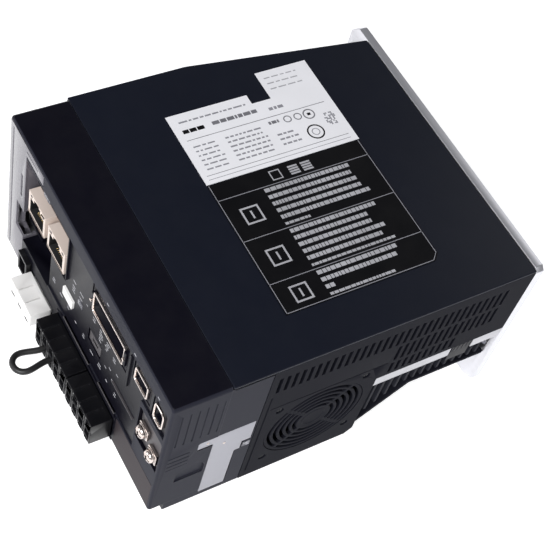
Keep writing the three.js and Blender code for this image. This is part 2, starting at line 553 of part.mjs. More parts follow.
// Jumper: one stiff insulated wire from one pole of the mains plug round to the next.
const JUMPER_X = -5.88;
const JUMPER_Z = 14;
const JUMPER_REACH = 26.7;
const JUMPER_BEND = 4.7;
const JUMPER_FOOT = 3.08;
function jumperWire() {
  const entry = FRONT - PLUG_REACH + GAP + 5;
  const points = [];
  points.push([JUMPER_X - JUMPER_FOOT, entry]);
  points.push([JUMPER_X - JUMPER_FOOT, entry - 3]);
  points.push([JUMPER_X - JUMPER_FOOT - 0.3, entry - 6]);
  const bendCentre = FRONT - JUMPER_REACH + JUMPER_BEND + WIRE_DIAMETER / 2;
  for (let step = 0; step <= 8; step += 1) {
    const angle = Math.PI * step / 8;
    points.push([JUMPER_X - JUMPER_BEND * Math.cos(angle), bendCentre - JUMPER_BEND * Math.sin(angle)]);
  }
  points.push([JUMPER_X + JUMPER_FOOT + 0.3, entry - 6]);
  points.push([JUMPER_X + JUMPER_FOOT, entry - 3]);
  points.push([JUMPER_X + JUMPER_FOOT, entry]);
  const route = new THREE.CatmullRomCurve3(points.map(([x, y]) => new THREE.Vector3(x, y, JUMPER_Z)));
  const section = new THREE.Shape();
  for (let side = 0; side < 8; side += 1) {
    const angle = side * Math.PI / 4;
    const [a, b] = [Math.cos(angle) * WIRE_DIAMETER / 2, Math.sin(angle) * WIRE_DIAMETER / 2];
    if (side === 0) {
      section.moveTo(a, b);
    } else {
      section.lineTo(a, b);
    }
  }
  return solid(new THREE.ExtrudeGeometry(section, { steps: 24, extrudePath: route }));
}
add('jumper_wire', jumperWire(), blackPlastic());

// ---------------------------------------------------------------- inside
add('control_board', box(-66.5, 70, FRONT + 21, 36, CONTROL_BOARD, CONTROL_BOARD + BOARD), greenBoard());
add('power_board', box(-58, 52, FRONT_JOINT + 4, BODY_BACK - 3, POWER_BOARD, POWER_BOARD + BOARD), greenBoard());
add('power_module', cut(box(-36, 26, -8, 26, SINK_TOP + GAP, POWER_BOARD - GAP),
  box(-8, -2, -9, -4, SINK_TOP, POWER_BOARD)), blackEpoxy());
for (const [index, x] of [-46, -19, 8, 35].entries()) {
  const can = rod('z', [x, 61, 73.3], 30.8, 12.5, 20);
  const dimple = rod('z', [x, 61, 88.9], 1.4, 10, 20);
  add(`capacitor_${index + 1}`, cut(can, dimple), canSleeve());
}
add('inrush_relay', cut(box(-62, -42, -36, -14, POWER_BOARD + BOARD + GAP, 72),
  box(-63, -60.5, -30, -20, 66, 73)), blackEpoxy());
add('gate_transformer', join(box(-28, -4, -36, -16, POWER_BOARD + BOARD + GAP, 61),
  box(-24, -8, -33, -19, 60.5, 73)), blackEpoxy());
const POSTS = [[-56, -44], [46, -44], [-56, 32], [46, 32]];
for (const [index, [x, y]] of POSTS.entries()) {
  const height = CONTROL_BOARD - POWER_BOARD - BOARD - 2 * GAP;
  const middle = [x, y, POWER_BOARD + BOARD + GAP + height / 2];
  add(`board_post_${index + 1}`, rod('z', middle, height, 2.8, 6), nickel());
}
add('insulating_sheet', box(-62, 70, FRONT_JOINT + 6, 34, 84, 84.6), clearSheet());
add('charge_lamp_guide', join(box(-3, 1, FRONT + 0.4, FRONT + 20, 52.4, 55.4),
  box(-3, 1, FRONT + 18, FRONT + 20, 55, 62)), clearSheet());

// ---------------------------------------------------------------- labels
const LABEL_BOTTOM = SIDE_TOP + 0.06;
const NAMEPLATE = [[-12.7, FRONT + 58.5], [-12.7, FRONT + 132.6], [-61, FRONT + 132.6], [-61, FRONT + 107],
  [-45.8, FRONT + 107], [-45.8, FRONT + 97.5], [-51, FRONT + 97.5], [-51, FRONT + 58.5]];
add('nameplate', sweep('z', outline(NAMEPLATE.slice().reverse()), LABEL_BOTTOM, WIDTH), whiteLabel());
const NOTES = [[-12.2, FRONT + 58.5], [54.5, FRONT + 58.5], [54.5, FRONT + 129], [51.5, FRONT + 132],
  [-12.2, FRONT + 132]];
add('notes_label', sweep('z', outline(NOTES), LABEL_BOTTOM, WIDTH), darkLabel());

export default drive;
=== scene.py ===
"""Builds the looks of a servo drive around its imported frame."""

import math
import random

import bmesh
import bpy
from bpy.props import FloatProperty, FloatVectorProperty, PointerProperty
from mathutils import Matrix, Vector


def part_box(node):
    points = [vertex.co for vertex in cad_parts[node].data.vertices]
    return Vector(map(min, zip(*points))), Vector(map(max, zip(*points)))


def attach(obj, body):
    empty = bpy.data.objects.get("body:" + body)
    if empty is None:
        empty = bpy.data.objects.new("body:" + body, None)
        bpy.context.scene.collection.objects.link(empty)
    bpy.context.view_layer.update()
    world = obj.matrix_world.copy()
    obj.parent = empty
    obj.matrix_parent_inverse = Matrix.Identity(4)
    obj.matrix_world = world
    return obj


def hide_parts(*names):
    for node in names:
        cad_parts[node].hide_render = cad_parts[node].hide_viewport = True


bl_info = {
    "name": "Servo drive",
    "version": (1, 0, 0),
    "blender": (4, 5, 0),
    "location": "3D View > Sidebar > Drive",
    "description": "Details and finishes for a servo drive lying on its left side",
    "category": "Object",
}

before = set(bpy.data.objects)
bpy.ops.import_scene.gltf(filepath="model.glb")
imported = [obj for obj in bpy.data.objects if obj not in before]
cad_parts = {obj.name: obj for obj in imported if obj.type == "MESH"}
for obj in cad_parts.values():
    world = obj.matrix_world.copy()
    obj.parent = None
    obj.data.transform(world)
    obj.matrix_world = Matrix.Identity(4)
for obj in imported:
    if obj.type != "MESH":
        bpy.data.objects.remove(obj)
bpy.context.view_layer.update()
MM = 0.001


# ------------------------------------------------------------------ sizes and colours
def length(name, description, default):
    """A length that a user can change, in metres."""
    return FloatProperty(name=name, description=description, default=default, min=0.0,
                         unit="LENGTH", precision=5)


def colour(name, description, default):
    """A finish's main colour."""
    return FloatVectorProperty(name=name, description=description, default=default, size=3,
                               min=0.0, max=1.0, subtype="COLOR")


class DriveSizes(bpy.types.PropertyGroup):
    """Small sizes that the frame doesn't hold."""

    moulded_edge: length("Moulded edge", "Rounding on moulded edges", 0.00028)
    front_edge: length("Front edge", "Rounding round the front housing's face", 0.0011)
    sheet_edge: length("Sheet edge", "Rounding on cut sheet metal", 0.0002)
    plate_edge: length("Plate edge", "Rounding on the thick plates", 0.0004)
    panel_recess: length("Panel recess", "Depth of the connector area below its rim", 0.0007)
    print_height: length("Print height", "Thickness of printed ink", 0.00002)
    camera_lens: length("Lens", "Focal length of the camera", 0.0839)


class DriveColours(bpy.types.PropertyGroup):
    """Main colours of the finishes."""

    black_paint: colour("Black paint", "Side cover", (0.0055, 0.0072, 0.0145))
    black_plastic: colour("Black plastic", "Front housing and sockets", (0.003, 0.0028, 0.007))
    grey_plastic: colour("Grey plastic", "End panels and rims", (0.0088, 0.0092, 0.014))
    lilac_plastic: colour("Lilac plastic", "Operation cover", (0.122, 0.116, 0.137))
    cream_plastic: colour("Cream plastic", "Network jacks", (0.66, 0.56, 0.5))
    white_plastic: colour("White plastic", "Control plug", (0.9, 0.89, 0.88))
    aluminium: colour("Aluminium", "Plates and fins", (0.72, 0.72, 0.76))
    nickel: colour("Nickel", "Screws and shells", (0.68, 0.6, 0.56))
    label_film: colour("Label film", "Nameplate", (0.86, 0.86, 0.9))
    board: colour("Board", "Solder mask", (0.012, 0.1, 0.045))


# ------------------------------------------------------------------ forms
SWEEPS = {
    "x": Matrix(((0, 0, 1), (1, 0, 0), (0, 1, 0))),
    "y": Matrix(((1, 0, 0), (0, 0, -1), (0, 1, 0))),
    "z": Matrix.Identity(3),
}


def span(node):
    """A node's lowest and highest corners, in millimetres."""
    low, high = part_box(node)
    return low / MM, high / MM


class Form:
    """Parts of one piece, in millimetres, gathered into one mesh."""

    def __init__(self):
        self.mesh = bmesh.new()

    def take(self, part, finish=0, edge=0.0, segments=2):
        """Rounds a part's sharp edges and adds it."""
        bmesh.ops.recalc_face_normals(part, faces=part.faces)
        if edge > 0:
            sharp = [e for e in part.edges if e.is_manifold and e.calc_face_angle(0.0) > 0.5]
            bmesh.ops.bevel(part, geom=sharp, offset=edge, segments=segments, profile=0.5,
                            affect="EDGES", clamp_overlap=True)
        for face in part.faces:
            face.material_index = finish
            face.smooth = True
        return self.absorb(part)

    def absorb(self, part):
        """Copies a loose mesh in and frees it."""
        store = bpy.data.meshes.new("part")
        part.to_mesh(store)
        part.free()
        self.mesh.from_mesh(store)
        bpy.data.meshes.remove(store)
        return self

    def add(self, other, matrix=None):
        """Joins another form to this one, moved by a matrix."""
        if matrix is not None:
            other.mesh.transform(matrix)
        return self.absorb(other.mesh)

    def box(self, x0, x1, y0, y1, z0, z1, finish=0, edge=0.25):
        """A block between two corners, with its edges rounded."""
        part = bmesh.new()
        middle = Vector(((x0 + x1) / 2, (y0 + y1) / 2, (z0 + z1) / 2))
        size = Vector((x1 - x0, y1 - y0, z1 - z0))
        place = Matrix.Translation(middle) @ Matrix.Diagonal(size).to_4x4()
        bmesh.ops.create_cube(part, size=1.0, matrix=place)
        return self.take(part, finish, min(edge, min(size) * 0.3))

    def prism(self, axis, points, start, end, finish=0, edge=0.2):
        """A flat outline swept along an axis; its numbers are the other two axes in order."""
        part = bmesh.new()
        turn = SWEEPS[axis]
        sign = -1 if axis == "y" else 1
        rings = []
        for along in (start, end):
            rings.append([part.verts.new(turn @ Vector((a, b, sign * along))) for a, b in points])
        count = len(points)
        part.faces.new(rings[0][::-1])
        part.faces.new(rings[1])
        for i in range(count):
            j = (i + 1) % count
            part.faces.new((rings[0][i], rings[0][j], rings[1][j], rings[1][i]))
        return self.take(part, finish, edge)

    def lathe(self, axis, centre, profile, sides=40, finish=0, closed=False, edge=0.0):
        """A profile of (radius, distance along) turned about an axis."""
        part = bmesh.new()
        turn = SWEEPS[axis]
        sign = -1 if axis == "y" else 1
        middle = Vector(centre)
        rings = []
        for radius, along in profile:
            if radius <= 0:
                rings.append([part.verts.new(middle + turn @ Vector((0, 0, sign * along)))])
                continue
            ring = []
            for i in range(sides):
                angle = math.tau * i / sides
                ring.append(part.verts.new(middle + turn @ Vector(
                    (radius * math.cos(angle), radius * math.sin(angle), sign * along))))
            rings.append(ring)
        pairs = list(zip(rings, rings[1:]))
        if closed:
            pairs.append((rings[-1], rings[0]))
        for first, second in pairs:
            for i in range(sides):
                j = (i + 1) % sides
                if len(first) == 1:
                    part.faces.new((first[0], second[j], second[i]))
                elif len(second) == 1:
                    part.faces.new((first[i], first[j], second[0]))
                else:
                    part.faces.new((first[i], first[j], second[j], second[i]))
        return self.take(part, finish, edge)

    def rod(self, axis, centre, radius, size, sides=24, finish=0, edge=0.15):
        """A round bar about its centre, with turned ends."""
        half = size / 2
        turned = edge if edge < radius * 0.9 else radius * 0.5
        profile = [(0, -half), (radius - turned, -half), (radius, -half + turned),
                   (radius, half - turned), (radius - turned, half), (0, half)]
        return self.lathe(axis, centre, profile, sides, finish)

    def node(self, name, finish=0, matrix=None):
        """A frame node's own solid, with its flat faces made whole."""
        part = bmesh.new()
        part.from_mesh(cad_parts[name].data)
        bmesh.ops.remove_doubles(part, verts=part.verts, dist=1e-6)
        bmesh.ops.scale(part, vec=Vector((1, 1, 1)) / MM, verts=part.verts)
        bmesh.ops.dissolve_limit(part, angle_limit=math.radians(1.0), use_dissolve_boundaries=False,
                                 verts=part.verts, edges=part.edges)
        if matrix is not None:
            part.transform(matrix)
        return self.take(part, finish)

    def round_where(self, test, edge, segments=3):
        """Rounds only the edges whose two ends and direction pass a test."""
        found = [e for e in self.mesh.edges if test(e.verts[0].co, e.verts[1].co)
                 and e.is_manifold and e.calc_face_angle(0.0) > 0.5]
        bmesh.ops.bevel(self.mesh, geom=found, offset=edge, segments=segments, profile=0.5,
                        affect="EDGES", clamp_overlap=False)
        for face in self.mesh.faces:
            face.smooth = True
        return self

    def cut(self, tool):
        """Takes another form away."""
        stores = []
        for form in (self, tool):
            store = bpy.data.meshes.new("cut")
            form.mesh.to_mesh(store)
            form.mesh.free()
            item = bpy.data.objects.new("cut", store)
            bpy.context.scene.collection.objects.link(item)
            stores.append(item)
        body, cutter = stores
        difference = body.modifiers.new("cut", "BOOLEAN")
        difference.operation = "DIFFERENCE"
        difference.solver = "EXACT"
        difference.use_self = True
        difference.object = cutter
        bpy.context.view_layer.update()
        shaped = body.evaluated_get(bpy.context.evaluated_depsgraph_get())
        result = bpy.data.meshes.new_from_object(shaped)
        self.mesh = bmesh.new()
        self.mesh.from_mesh(result)
        bpy.data.meshes.remove(result)
        for item in stores:
            store = item.data
            bpy.data.objects.remove(item)
            bpy.data.meshes.remove(store)
        return self

    def paint(self, test, finish):
        """Gives another finish to the faces whose middle passes a test."""
        for face in self.mesh.faces:
            if test(face.calc_center_median(), face.normal):
                face.material_index = finish
        return self

    def piece(self, name, body, finishes, stands_for=(), slot=None, edge=0.0, segments=2):
        """Makes the object, rounds its edges, and lets it ride on a body."""
        bmesh.ops.scale(self.mesh, vec=Vector((MM, MM, MM)), verts=self.mesh.verts)
        data = bpy.data.meshes.new(name)
        self.mesh.to_mesh(data)
        self.mesh.free()
        for finish in finishes:
            data.materials.append(bpy.data.materials[finish])
        data.shade_smooth()
        item = bpy.data.objects.new(name, data)
        bpy.context.scene.collection.objects.link(item)
        if edge > 0:
            rounding = item.modifiers.new("Edges", "BEVEL")
            rounding.width = edge
            rounding.segments = segments
            rounding.limit_method = "ANGLE"
            rounding.angle_limit = math.radians(32)
            rounding.use_clamp_overlap = False
            rounding.harden_normals = True
        else:
            data.set_sharp_from_angle(angle=math.radians(42))
            normals = item.modifiers.new("Normals", "WEIGHTED_NORMAL")
            normals.keep_sharp = True
        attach(item, body)
        if stands_for:
            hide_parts(*stands_for)
        return item


# ------------------------------------------------------------------ shared effects
def effect(name, inputs, outputs):
    """A node group with named sockets, and its two end nodes."""
    group = bpy.data.node_groups.new(name, "ShaderNodeTree")
    for label, kind, default in inputs:
        socket = group.interface.new_socket(name=label, in_out="INPUT", socket_type=kind)
        if default is not None:
            socket.default_value = default
    for label, kind in outputs:
        group.interface.new_socket(name=label, in_out="OUTPUT", socket_type=kind)
    return group, group.nodes.new("NodeGroupInput"), group.nodes.new("NodeGroupOutput")


def math_node(tree, operation, first, second=None, clamp=False):
    """A maths node; numbers are set and sockets are linked."""
    node = tree.nodes.new("ShaderNodeMath")
    node.operation = operation
    node.use_clamp = clamp
    for index, value in enumerate((first, second)):
        if value is None:
            continue
        if isinstance(value, (int, float)):
            node.inputs[index].default_value = value
        else:
            tree.links.new(value, node.inputs[index])
    return node.outputs[0]


def noise_node(tree, vector, scale, detail=2.0, roughness=0.5):
    """Noise along a vector; its scale is a number or a socket."""
    node = tree.nodes.new("ShaderNodeTexNoise")
    node.inputs["Detail"].default_value = detail
    node.inputs["Roughness"].default_value = roughness
    tree.links.new(vector, node.inputs["Vector"])
    if isinstance(scale, (int, float)):
        node.inputs["Scale"].default_value = scale
    else:
        tree.links.new(scale, node.inputs["Scale"])
    return node.outputs["Fac"]


def make_moulded_grain():
    """Fine pitted grain, with slow clouds for tone."""
    group, start, end = effect(
        "Moulded grain",
        [("Vector", "NodeSocketVector", None), ("Scale", "NodeSocketFloat", 1500.0)],
        [("Height", "NodeSocketFloat"), ("Clouds", "NodeSocketFloat")])
    vector = start.outputs["Vector"]
    fine = noise_node(group, vector, start.outputs["Scale"], 3.0, 0.6)
    cells = group.nodes.new("ShaderNodeTexVoronoi")
    group.links.new(vector, cells.inputs["Vector"])
    group.links.new(start.outputs["Scale"], cells.inputs["Scale"])
    pits = math_node(group, "MULTIPLY", cells.outputs["Distance"], 0.6)
    group.links.new(math_node(group, "ADD", fine, pits), end.inputs["Height"])
    group.links.new(noise_node(group, vector, 55.0, 4.0, 0.55), end.inputs["Clouds"])


def make_edge_wear():
    """A mask of rubbed edges, broken up by noise."""
    group, start, end = effect(
        "Edge wear",
        [("Vector", "NodeSocketVector", None), ("Width", "NodeSocketFloat", 0.0006),
         ("Amount", "NodeSocketFloat", 0.5)],
        [("Mask", "NodeSocketFloat")])
    rounded = group.nodes.new("ShaderNodeBevel")
    rounded.samples = 4
    group.links.new(start.outputs["Width"], rounded.inputs["Radius"])
    surface = group.nodes.new("ShaderNodeNewGeometry")
    dot = group.nodes.new("ShaderNodeVectorMath")
    dot.operation = "DOT_PRODUCT"
    group.links.new(rounded.outputs["Normal"], dot.inputs[0])
    group.links.new(surface.outputs["Normal"], dot.inputs[1])
    bend = math_node(group, "SUBTRACT", 1.0, dot.outputs["Value"], clamp=True)
    sharp = math_node(group, "MULTIPLY", bend, 7.0, clamp=True)
    broken = math_node(group, "MULTIPLY", noise_node(group, start.outputs["Vector"], 420.0, 3.0), 1.5)
    rubbed = math_node(group, "MULTIPLY", sharp, broken)
    mask = math_node(group, "MULTIPLY", rubbed, start.outputs["Amount"], clamp=True)
    group.links.new(mask, end.inputs["Mask"])


def make_dust():
    """A mask of settled dust, on faces that look up and in soft patches."""
    group, start, end = effect(
        "Settled dust",
        [("Vector", "NodeSocketVector", None), ("Amount", "NodeSocketFloat", 0.1)],
        [("Mask", "NodeSocketFloat")])
    surface = group.nodes.new("ShaderNodeNewGeometry")
    parts = group.nodes.new("ShaderNodeSeparateXYZ")
    group.links.new(surface.outputs["Normal"], parts.inputs[0])
    up = math_node(group, "MAXIMUM", parts.outputs["Z"], 0.15)
    vector = start.outputs["Vector"]
    patches = math_node(group, "SUBTRACT", noise_node(group, vector, 90.0, 5.0, 0.6), 0.38, clamp=True)
    specks = math_node(group, "GREATER_THAN", noise_node(group, vector, 2600.0, 1.0), 0.73)
    both = math_node(group, "ADD", math_node(group, "MULTIPLY", patches, 2.0),
                     math_node(group, "MULTIPLY", specks, 0.7))
    settled = math_node(group, "MULTIPLY", both, up)
    mask = math_node(group, "MULTIPLY", settled, start.outputs["Amount"], clamp=True)
    group.links.new(mask, end.inputs["Mask"])


def make_brushed():
    """Fine parallel lines for drawn or brushed metal, stretched along one axis."""
    group, start, end = effect(
        "Brushed lines",
        [("Vector", "NodeSocketVector", None), ("Stretch", "NodeSocketVector", (1.0, 1.0, 1.0))],
        [("Height", "NodeSocketFloat"), ("Streaks", "NodeSocketFloat")])
    scaled = group.nodes.new("ShaderNodeVectorMath")
    scaled.operation = "MULTIPLY"
    group.links.new(start.outputs["Vector"], scaled.inputs[0])
    group.links.new(start.outputs["Stretch"], scaled.inputs[1])
    group.links.new(noise_node(group, scaled.outputs[0], 1800.0, 3.0, 0.7), end.inputs["Height"])
    group.links.new(noise_node(group, scaled.outputs[0], 260.0, 4.0, 0.6), end.inputs["Streaks"])


def mix_colour(tree, factor, first, second):
    """Mixes two colours; each may be a socket or three numbers."""
    node = tree.nodes.new("ShaderNodeMix")
    node.data_type = "RGBA"
    node.clamp_factor = True
    if isinstance(factor, (int, float)):
        node.inputs["Factor"].default_value = factor
    else:
        tree.links.new(factor, node.inputs["Factor"])
    for label, value in (("A", first), ("B", second)):
        socket = [s for s in node.inputs if s.name == label and s.type == "RGBA"][0]
        if isinstance(value, bpy.types.NodeSocket):
            tree.links.new(value, socket)
        else:
            socket.default_value = (*value, 1.0)
    return [s for s in node.outputs if s.type == "RGBA"][0]


def place_group(tree, name, vector, **values):
    """Puts a shared effect in a material, with its own values."""
    node = tree.nodes.new("ShaderNodeGroup")
    node.node_tree = bpy.data.node_groups[name]
    tree.links.new(vector, node.inputs["Vector"])
    for label, value in values.items():
        node.inputs[label].default_value = value
    return node


DUST_COLOUR = (0.32, 0.31, 0.3)
WEAR_WIDTH = 0.0005


def finish(name, base, roughness, metallic=0.0, grain=1500.0, depth=0.00002, tone=0.12,
           rough_swing=0.035, wear=0.35, worn=(0.09, 0.09, 0.1), dust=0.02, coat=0.0, brush=None,
           specular=0.5):
    """One material: a shader with grain, clouds, rubbed edges and dust from the shared effects."""
    material = bpy.data.materials.new(name)
    material.use_nodes = True
    tree = material.node_tree
    shader = tree.nodes["Principled BSDF"]
    place = tree.nodes.new("ShaderNodeTexCoord").outputs["Object"]
    if brush is None:
        relief = place_group(tree, "Moulded grain", place, Scale=grain)
        clouds = relief.outputs["Clouds"]
    else:
        relief = place_group(tree, "Brushed lines", place, Stretch=brush)
        clouds = relief.outputs["Streaks"]
    dark = tuple(c * (1 - tone) for c in base)
    light = tuple(min(1.0, c * (1 + tone)) for c in base)
    body = mix_colour(tree, clouds, dark, light)
    edges = place_group(tree, "Edge wear", place, Width=WEAR_WIDTH, Amount=wear)
    rubbed = mix_colour(tree, edges.outputs["Mask"], body, worn)
    settled = place_group(tree, "Settled dust", place, Amount=dust)
    dusty = mix_colour(tree, settled.outputs["Mask"], rubbed, DUST_COLOUR)
    tree.links.new(dusty, shader.inputs["Base Color"])
    swing = math_node(tree, "MULTIPLY", math_node(tree, "SUBTRACT", clouds, 0.5), rough_swing * 2)
    dulled = math_node(tree, "MULTIPLY", settled.outputs["Mask"], 0.3)
    total = math_node(tree, "ADD", math_node(tree, "ADD", swing, roughness), dulled, clamp=True)
    tree.links.new(total, shader.inputs["Roughness"])
    bump = tree.nodes.new("ShaderNodeBump")
    bump.inputs["Strength"].default_value = 1.0
    bump.inputs["Distance"].default_value = depth
    tree.links.new(relief.outputs["Height"], bump.inputs["Height"])
    tree.links.new(bump.outputs["Normal"], shader.inputs["Normal"])
    shader.inputs["Metallic"].default_value = metallic
    shader.inputs["Coat Weight"].default_value = coat
    shader.inputs["Specular IOR Level"].default_value = specular
    return material


TRACK_COLOUR = (0.03, 0.2, 0.08)
PAD_COLOUR = (0.55, 0.52, 0.46)


def make_board_finish(name, base):
    """Solder mask over straight copper tracks, with small pads."""
    material = finish(name, base, 0.32, grain=900.0, depth=0.00001, wear=0.1, dust=0.12, coat=0.2)
    tree = material.node_tree
    place = [n for n in tree.nodes if n.type == "TEX_COORD"][0].outputs["Object"]
    tracks = tree.nodes.new("ShaderNodeTexBrick")
    tracks.inputs["Scale"].default_value = 260.0
    tracks.inputs["Mortar Size"].default_value = 0.09
    tracks.inputs["Brick Width"].default_value = 1.6
    tree.links.new(place, tracks.inputs["Vector"])
    pads = tree.nodes.new("ShaderNodeTexVoronoi")
    pads.inputs["Scale"].default_value = 330.0
    tree.links.new(place, pads.inputs["Vector"])
    dots = math_node(tree, "LESS_THAN", pads.outputs["Distance"], 0.16)
    shader = tree.nodes["Principled BSDF"]
    under = shader.inputs["Base Color"].links[0].from_socket
    shown = math_node(tree, "MULTIPLY", tracks.outputs["Fac"], 0.6)
    tracked = mix_colour(tree, shown, under, TRACK_COLOUR)
    tree.links.new(mix_colour(tree, dots, tracked, PAD_COLOUR), shader.inputs["Base Color"])


def make_finishes(colours):
    """All finishes of the drive."""
    make_moulded_grain()
    make_edge_wear()
    make_dust()
    make_brushed()
    finish("Black paint", colours.black_paint, 0.42, grain=2600.0, depth=0.00002, tone=0.08, wear=0.45,
           rough_swing=0.03, worn=(0.06, 0.06, 0.075), dust=0.006, specular=0.14)
    finish("Black plastic", colours.black_plastic, 0.38, grain=1800.0, depth=0.000018, wear=0.3,
           worn=(0.05, 0.05, 0.06), dust=0.01, specular=0.12)
    finish("Glossy black plastic", (0.005, 0.005, 0.0065), 0.3, grain=1300.0, depth=0.00001, wear=0.25,
           worn=(0.07, 0.07, 0.08), dust=0.015, specular=0.15)
    finish("Grey plastic", colours.grey_plastic, 0.58, grain=1700.0, depth=0.00002, tone=0.08, wear=0.3,
           worn=(0.05, 0.05, 0.06), dust=0.01, specular=0.03)
    finish("Rim plastic", tuple(c * 2.0 for c in colours.grey_plastic), 0.5, grain=1900.0, depth=0.000016,
           tone=0.1, wear=0.4, worn=(0.14, 0.14, 0.16), dust=0.015, specular=0.06)
    finish("Warm black plastic", (0.03, 0.023, 0.027), 0.5, grain=1700.0, depth=0.00002, wear=0.3,
           worn=(0.1, 0.09, 0.095), specular=0.1)
    finish("Dark fins", (0.02, 0.021, 0.028), 0.6, brush=(0.05, 1.0, 1.0), depth=0.00001,
           tone=0.2, wear=0.15, worn=(0.06, 0.06, 0.07), specular=0.05)
    finish("Dull plating", (0.07, 0.064, 0.07), 0.5, metallic=0.3, brush=(1.0, 1.0, 0.06), depth=0.00001,
           tone=0.1, wear=0.2, worn=(0.3, 0.29, 0.3))
    finish("Lilac plastic", colours.lilac_plastic, 0.2, grain=900.0, depth=0.000008, tone=0.07, wear=0.2,
           worn=(0.62, 0.6, 0.66), dust=0.03, coat=0.3)
    finish("Cream plastic", colours.cream_plastic, 0.34, grain=1200.0, depth=0.00001, tone=0.1, wear=0.15,
           worn=(0.8, 0.72, 0.64), dust=0.03)
    finish("White plastic", colours.white_plastic, 0.36, grain=1300.0, depth=0.00001, tone=0.05, wear=0.1,
           worn=(0.85, 0.84, 0.82), dust=0.02)
    finish("Plate aluminium", colours.aluminium, 0.36, metallic=1.0, brush=(0.04, 1.0, 1.0), depth=0.00001,
           tone=0.1, rough_swing=0.12, wear=0.4, worn=(0.9, 0.9, 0.93), dust=0.02)
    finish("Fin aluminium", tuple(c * 0.7 for c in colours.aluminium), 0.42, metallic=1.0,
           brush=(0.05, 1.0, 1.0), depth=0.00001, tone=0.14, wear=0.3, worn=(0.8, 0.8, 0.83), dust=0.05)
    finish("Earth bar plating", (0.34, 0.34, 0.38), 0.5, metallic=0.3, brush=(1.0, 1.0, 0.06),
           depth=0.00001, tone=0.06, rough_swing=0.1, wear=0.2, worn=(0.92, 0.92, 0.94), dust=0.02)
    finish("Bright nickel", colours.nickel, 0.2, metallic=1.0, grain=900.0, depth=0.000006, tone=0.08,
           wear=0.2, worn=(0.9, 0.86, 0.82), dust=0.02)
    finish("Contact gold", (0.78, 0.55, 0.24), 0.25, metallic=1.0, grain=900.0, depth=0.000004, wear=0.1,
           worn=(0.9, 0.8, 0.5), dust=0.0)
    finish("Capacitor sleeve", (0.018, 0.03, 0.085), 0.28, grain=500.0, depth=0.00002, dust=0.08, coat=0.3)
    finish("Black epoxy", (0.013, 0.013, 0.014), 0.5, grain=1400.0, depth=0.00003, dust=0.1)
    finish("Insulating film", (0.6, 0.58, 0.5), 0.25, grain=400.0, depth=0.00001, dust=0.05)
    finish("Clear guide", (0.14, 0.14, 0.16), 0.15, grain=700.0, depth=0.000005, dust=0.02, tone=0.03)
    finish("Label film", colours.label_film, 0.42, grain=800.0, depth=0.000008, tone=0.05, wear=0.05,
           worn=(0.8, 0.8, 0.82), dust=0.04)
    finish("Dark film", (0.002, 0.002, 0.003), 0.35, grain=800.0, depth=0.000008, tone=0.1, wear=0.05,
           dust=0.01, specular=0.15)
    finish("Grey ink", (0.16, 0.16, 0.18), 0.5, grain=2400.0, depth=0.000006, tone=0.35, wear=0.0, dust=0.0)
    finish("Pale ink", (0.26, 0.26, 0.29), 0.5, grain=2400.0, depth=0.000006, tone=0.12, wear=0.0, dust=0.0)
    finish("White ink", (0.4, 0.4, 0.43), 0.5, grain=2400.0, depth=0.000006, tone=0.3, wear=0.0, dust=0.0)
    finish("Wire insulation", (0.009, 0.009, 0.01), 0.4, grain=1600.0, depth=0.00001, wear=0.0, dust=0.08)
    finish("Smoked window", (0.006, 0.005, 0.007), 0.12, grain=500.0, depth=0.000003, wear=0.0, dust=0.04,
           coat=0.4)
    # Painted shade: a flat black with no wear or dust, set inside jack mouths, plug wire entries and the
    # service port's slot where only shade is seen.
    finish("Painted shade black", (0.002, 0.002, 0.0025), 0.6, grain=1200.0, depth=0.00001, wear=0.0, dust=0.0)
    finish("Display segment", (0.05, 0.018, 0.016), 0.35, grain=900.0, depth=0.000004, wear=0.0, dust=0.0)
    make_board_finish("Circuit board", colours.board)


# ------------------------------------------------------------------ stage
CAMERA_PLACE = (0.2509, -0.2245, 0.4923)
CAMERA_RIGHT = (0.4766, 0.8587, 0.1884)
CAMERA_UP = (-0.7669, 0.3012, 0.5667)
SENSOR = 36.0
LIGHTS = (
    ("Key light", (0.55, -0.75, 0.95), 0.9, 15.0),
    ("Fan end light", (1.1, 0.25, 0.45), 0.8, 0.8),
    ("Back light", (-0.35, 1.2, 0.5), 0.9, 2.2),
    ("Front light", (-0.5, -1.15, 0.5), 0.8, 3.6),
)
LIGHT_AIM = (0.0, 0.0, 0.03)
SKY_COLOUR = (0.96, 0.97, 1.0, 1.0)
SKY_STRENGTH = 0.26
FLOOR_REACH = 4.0
FLOOR_DROP = 0.0003
FLOOR_COLOUR = (0.93, 0.93, 0.935, 1.0)
FLOOR_GLOW = 0.55


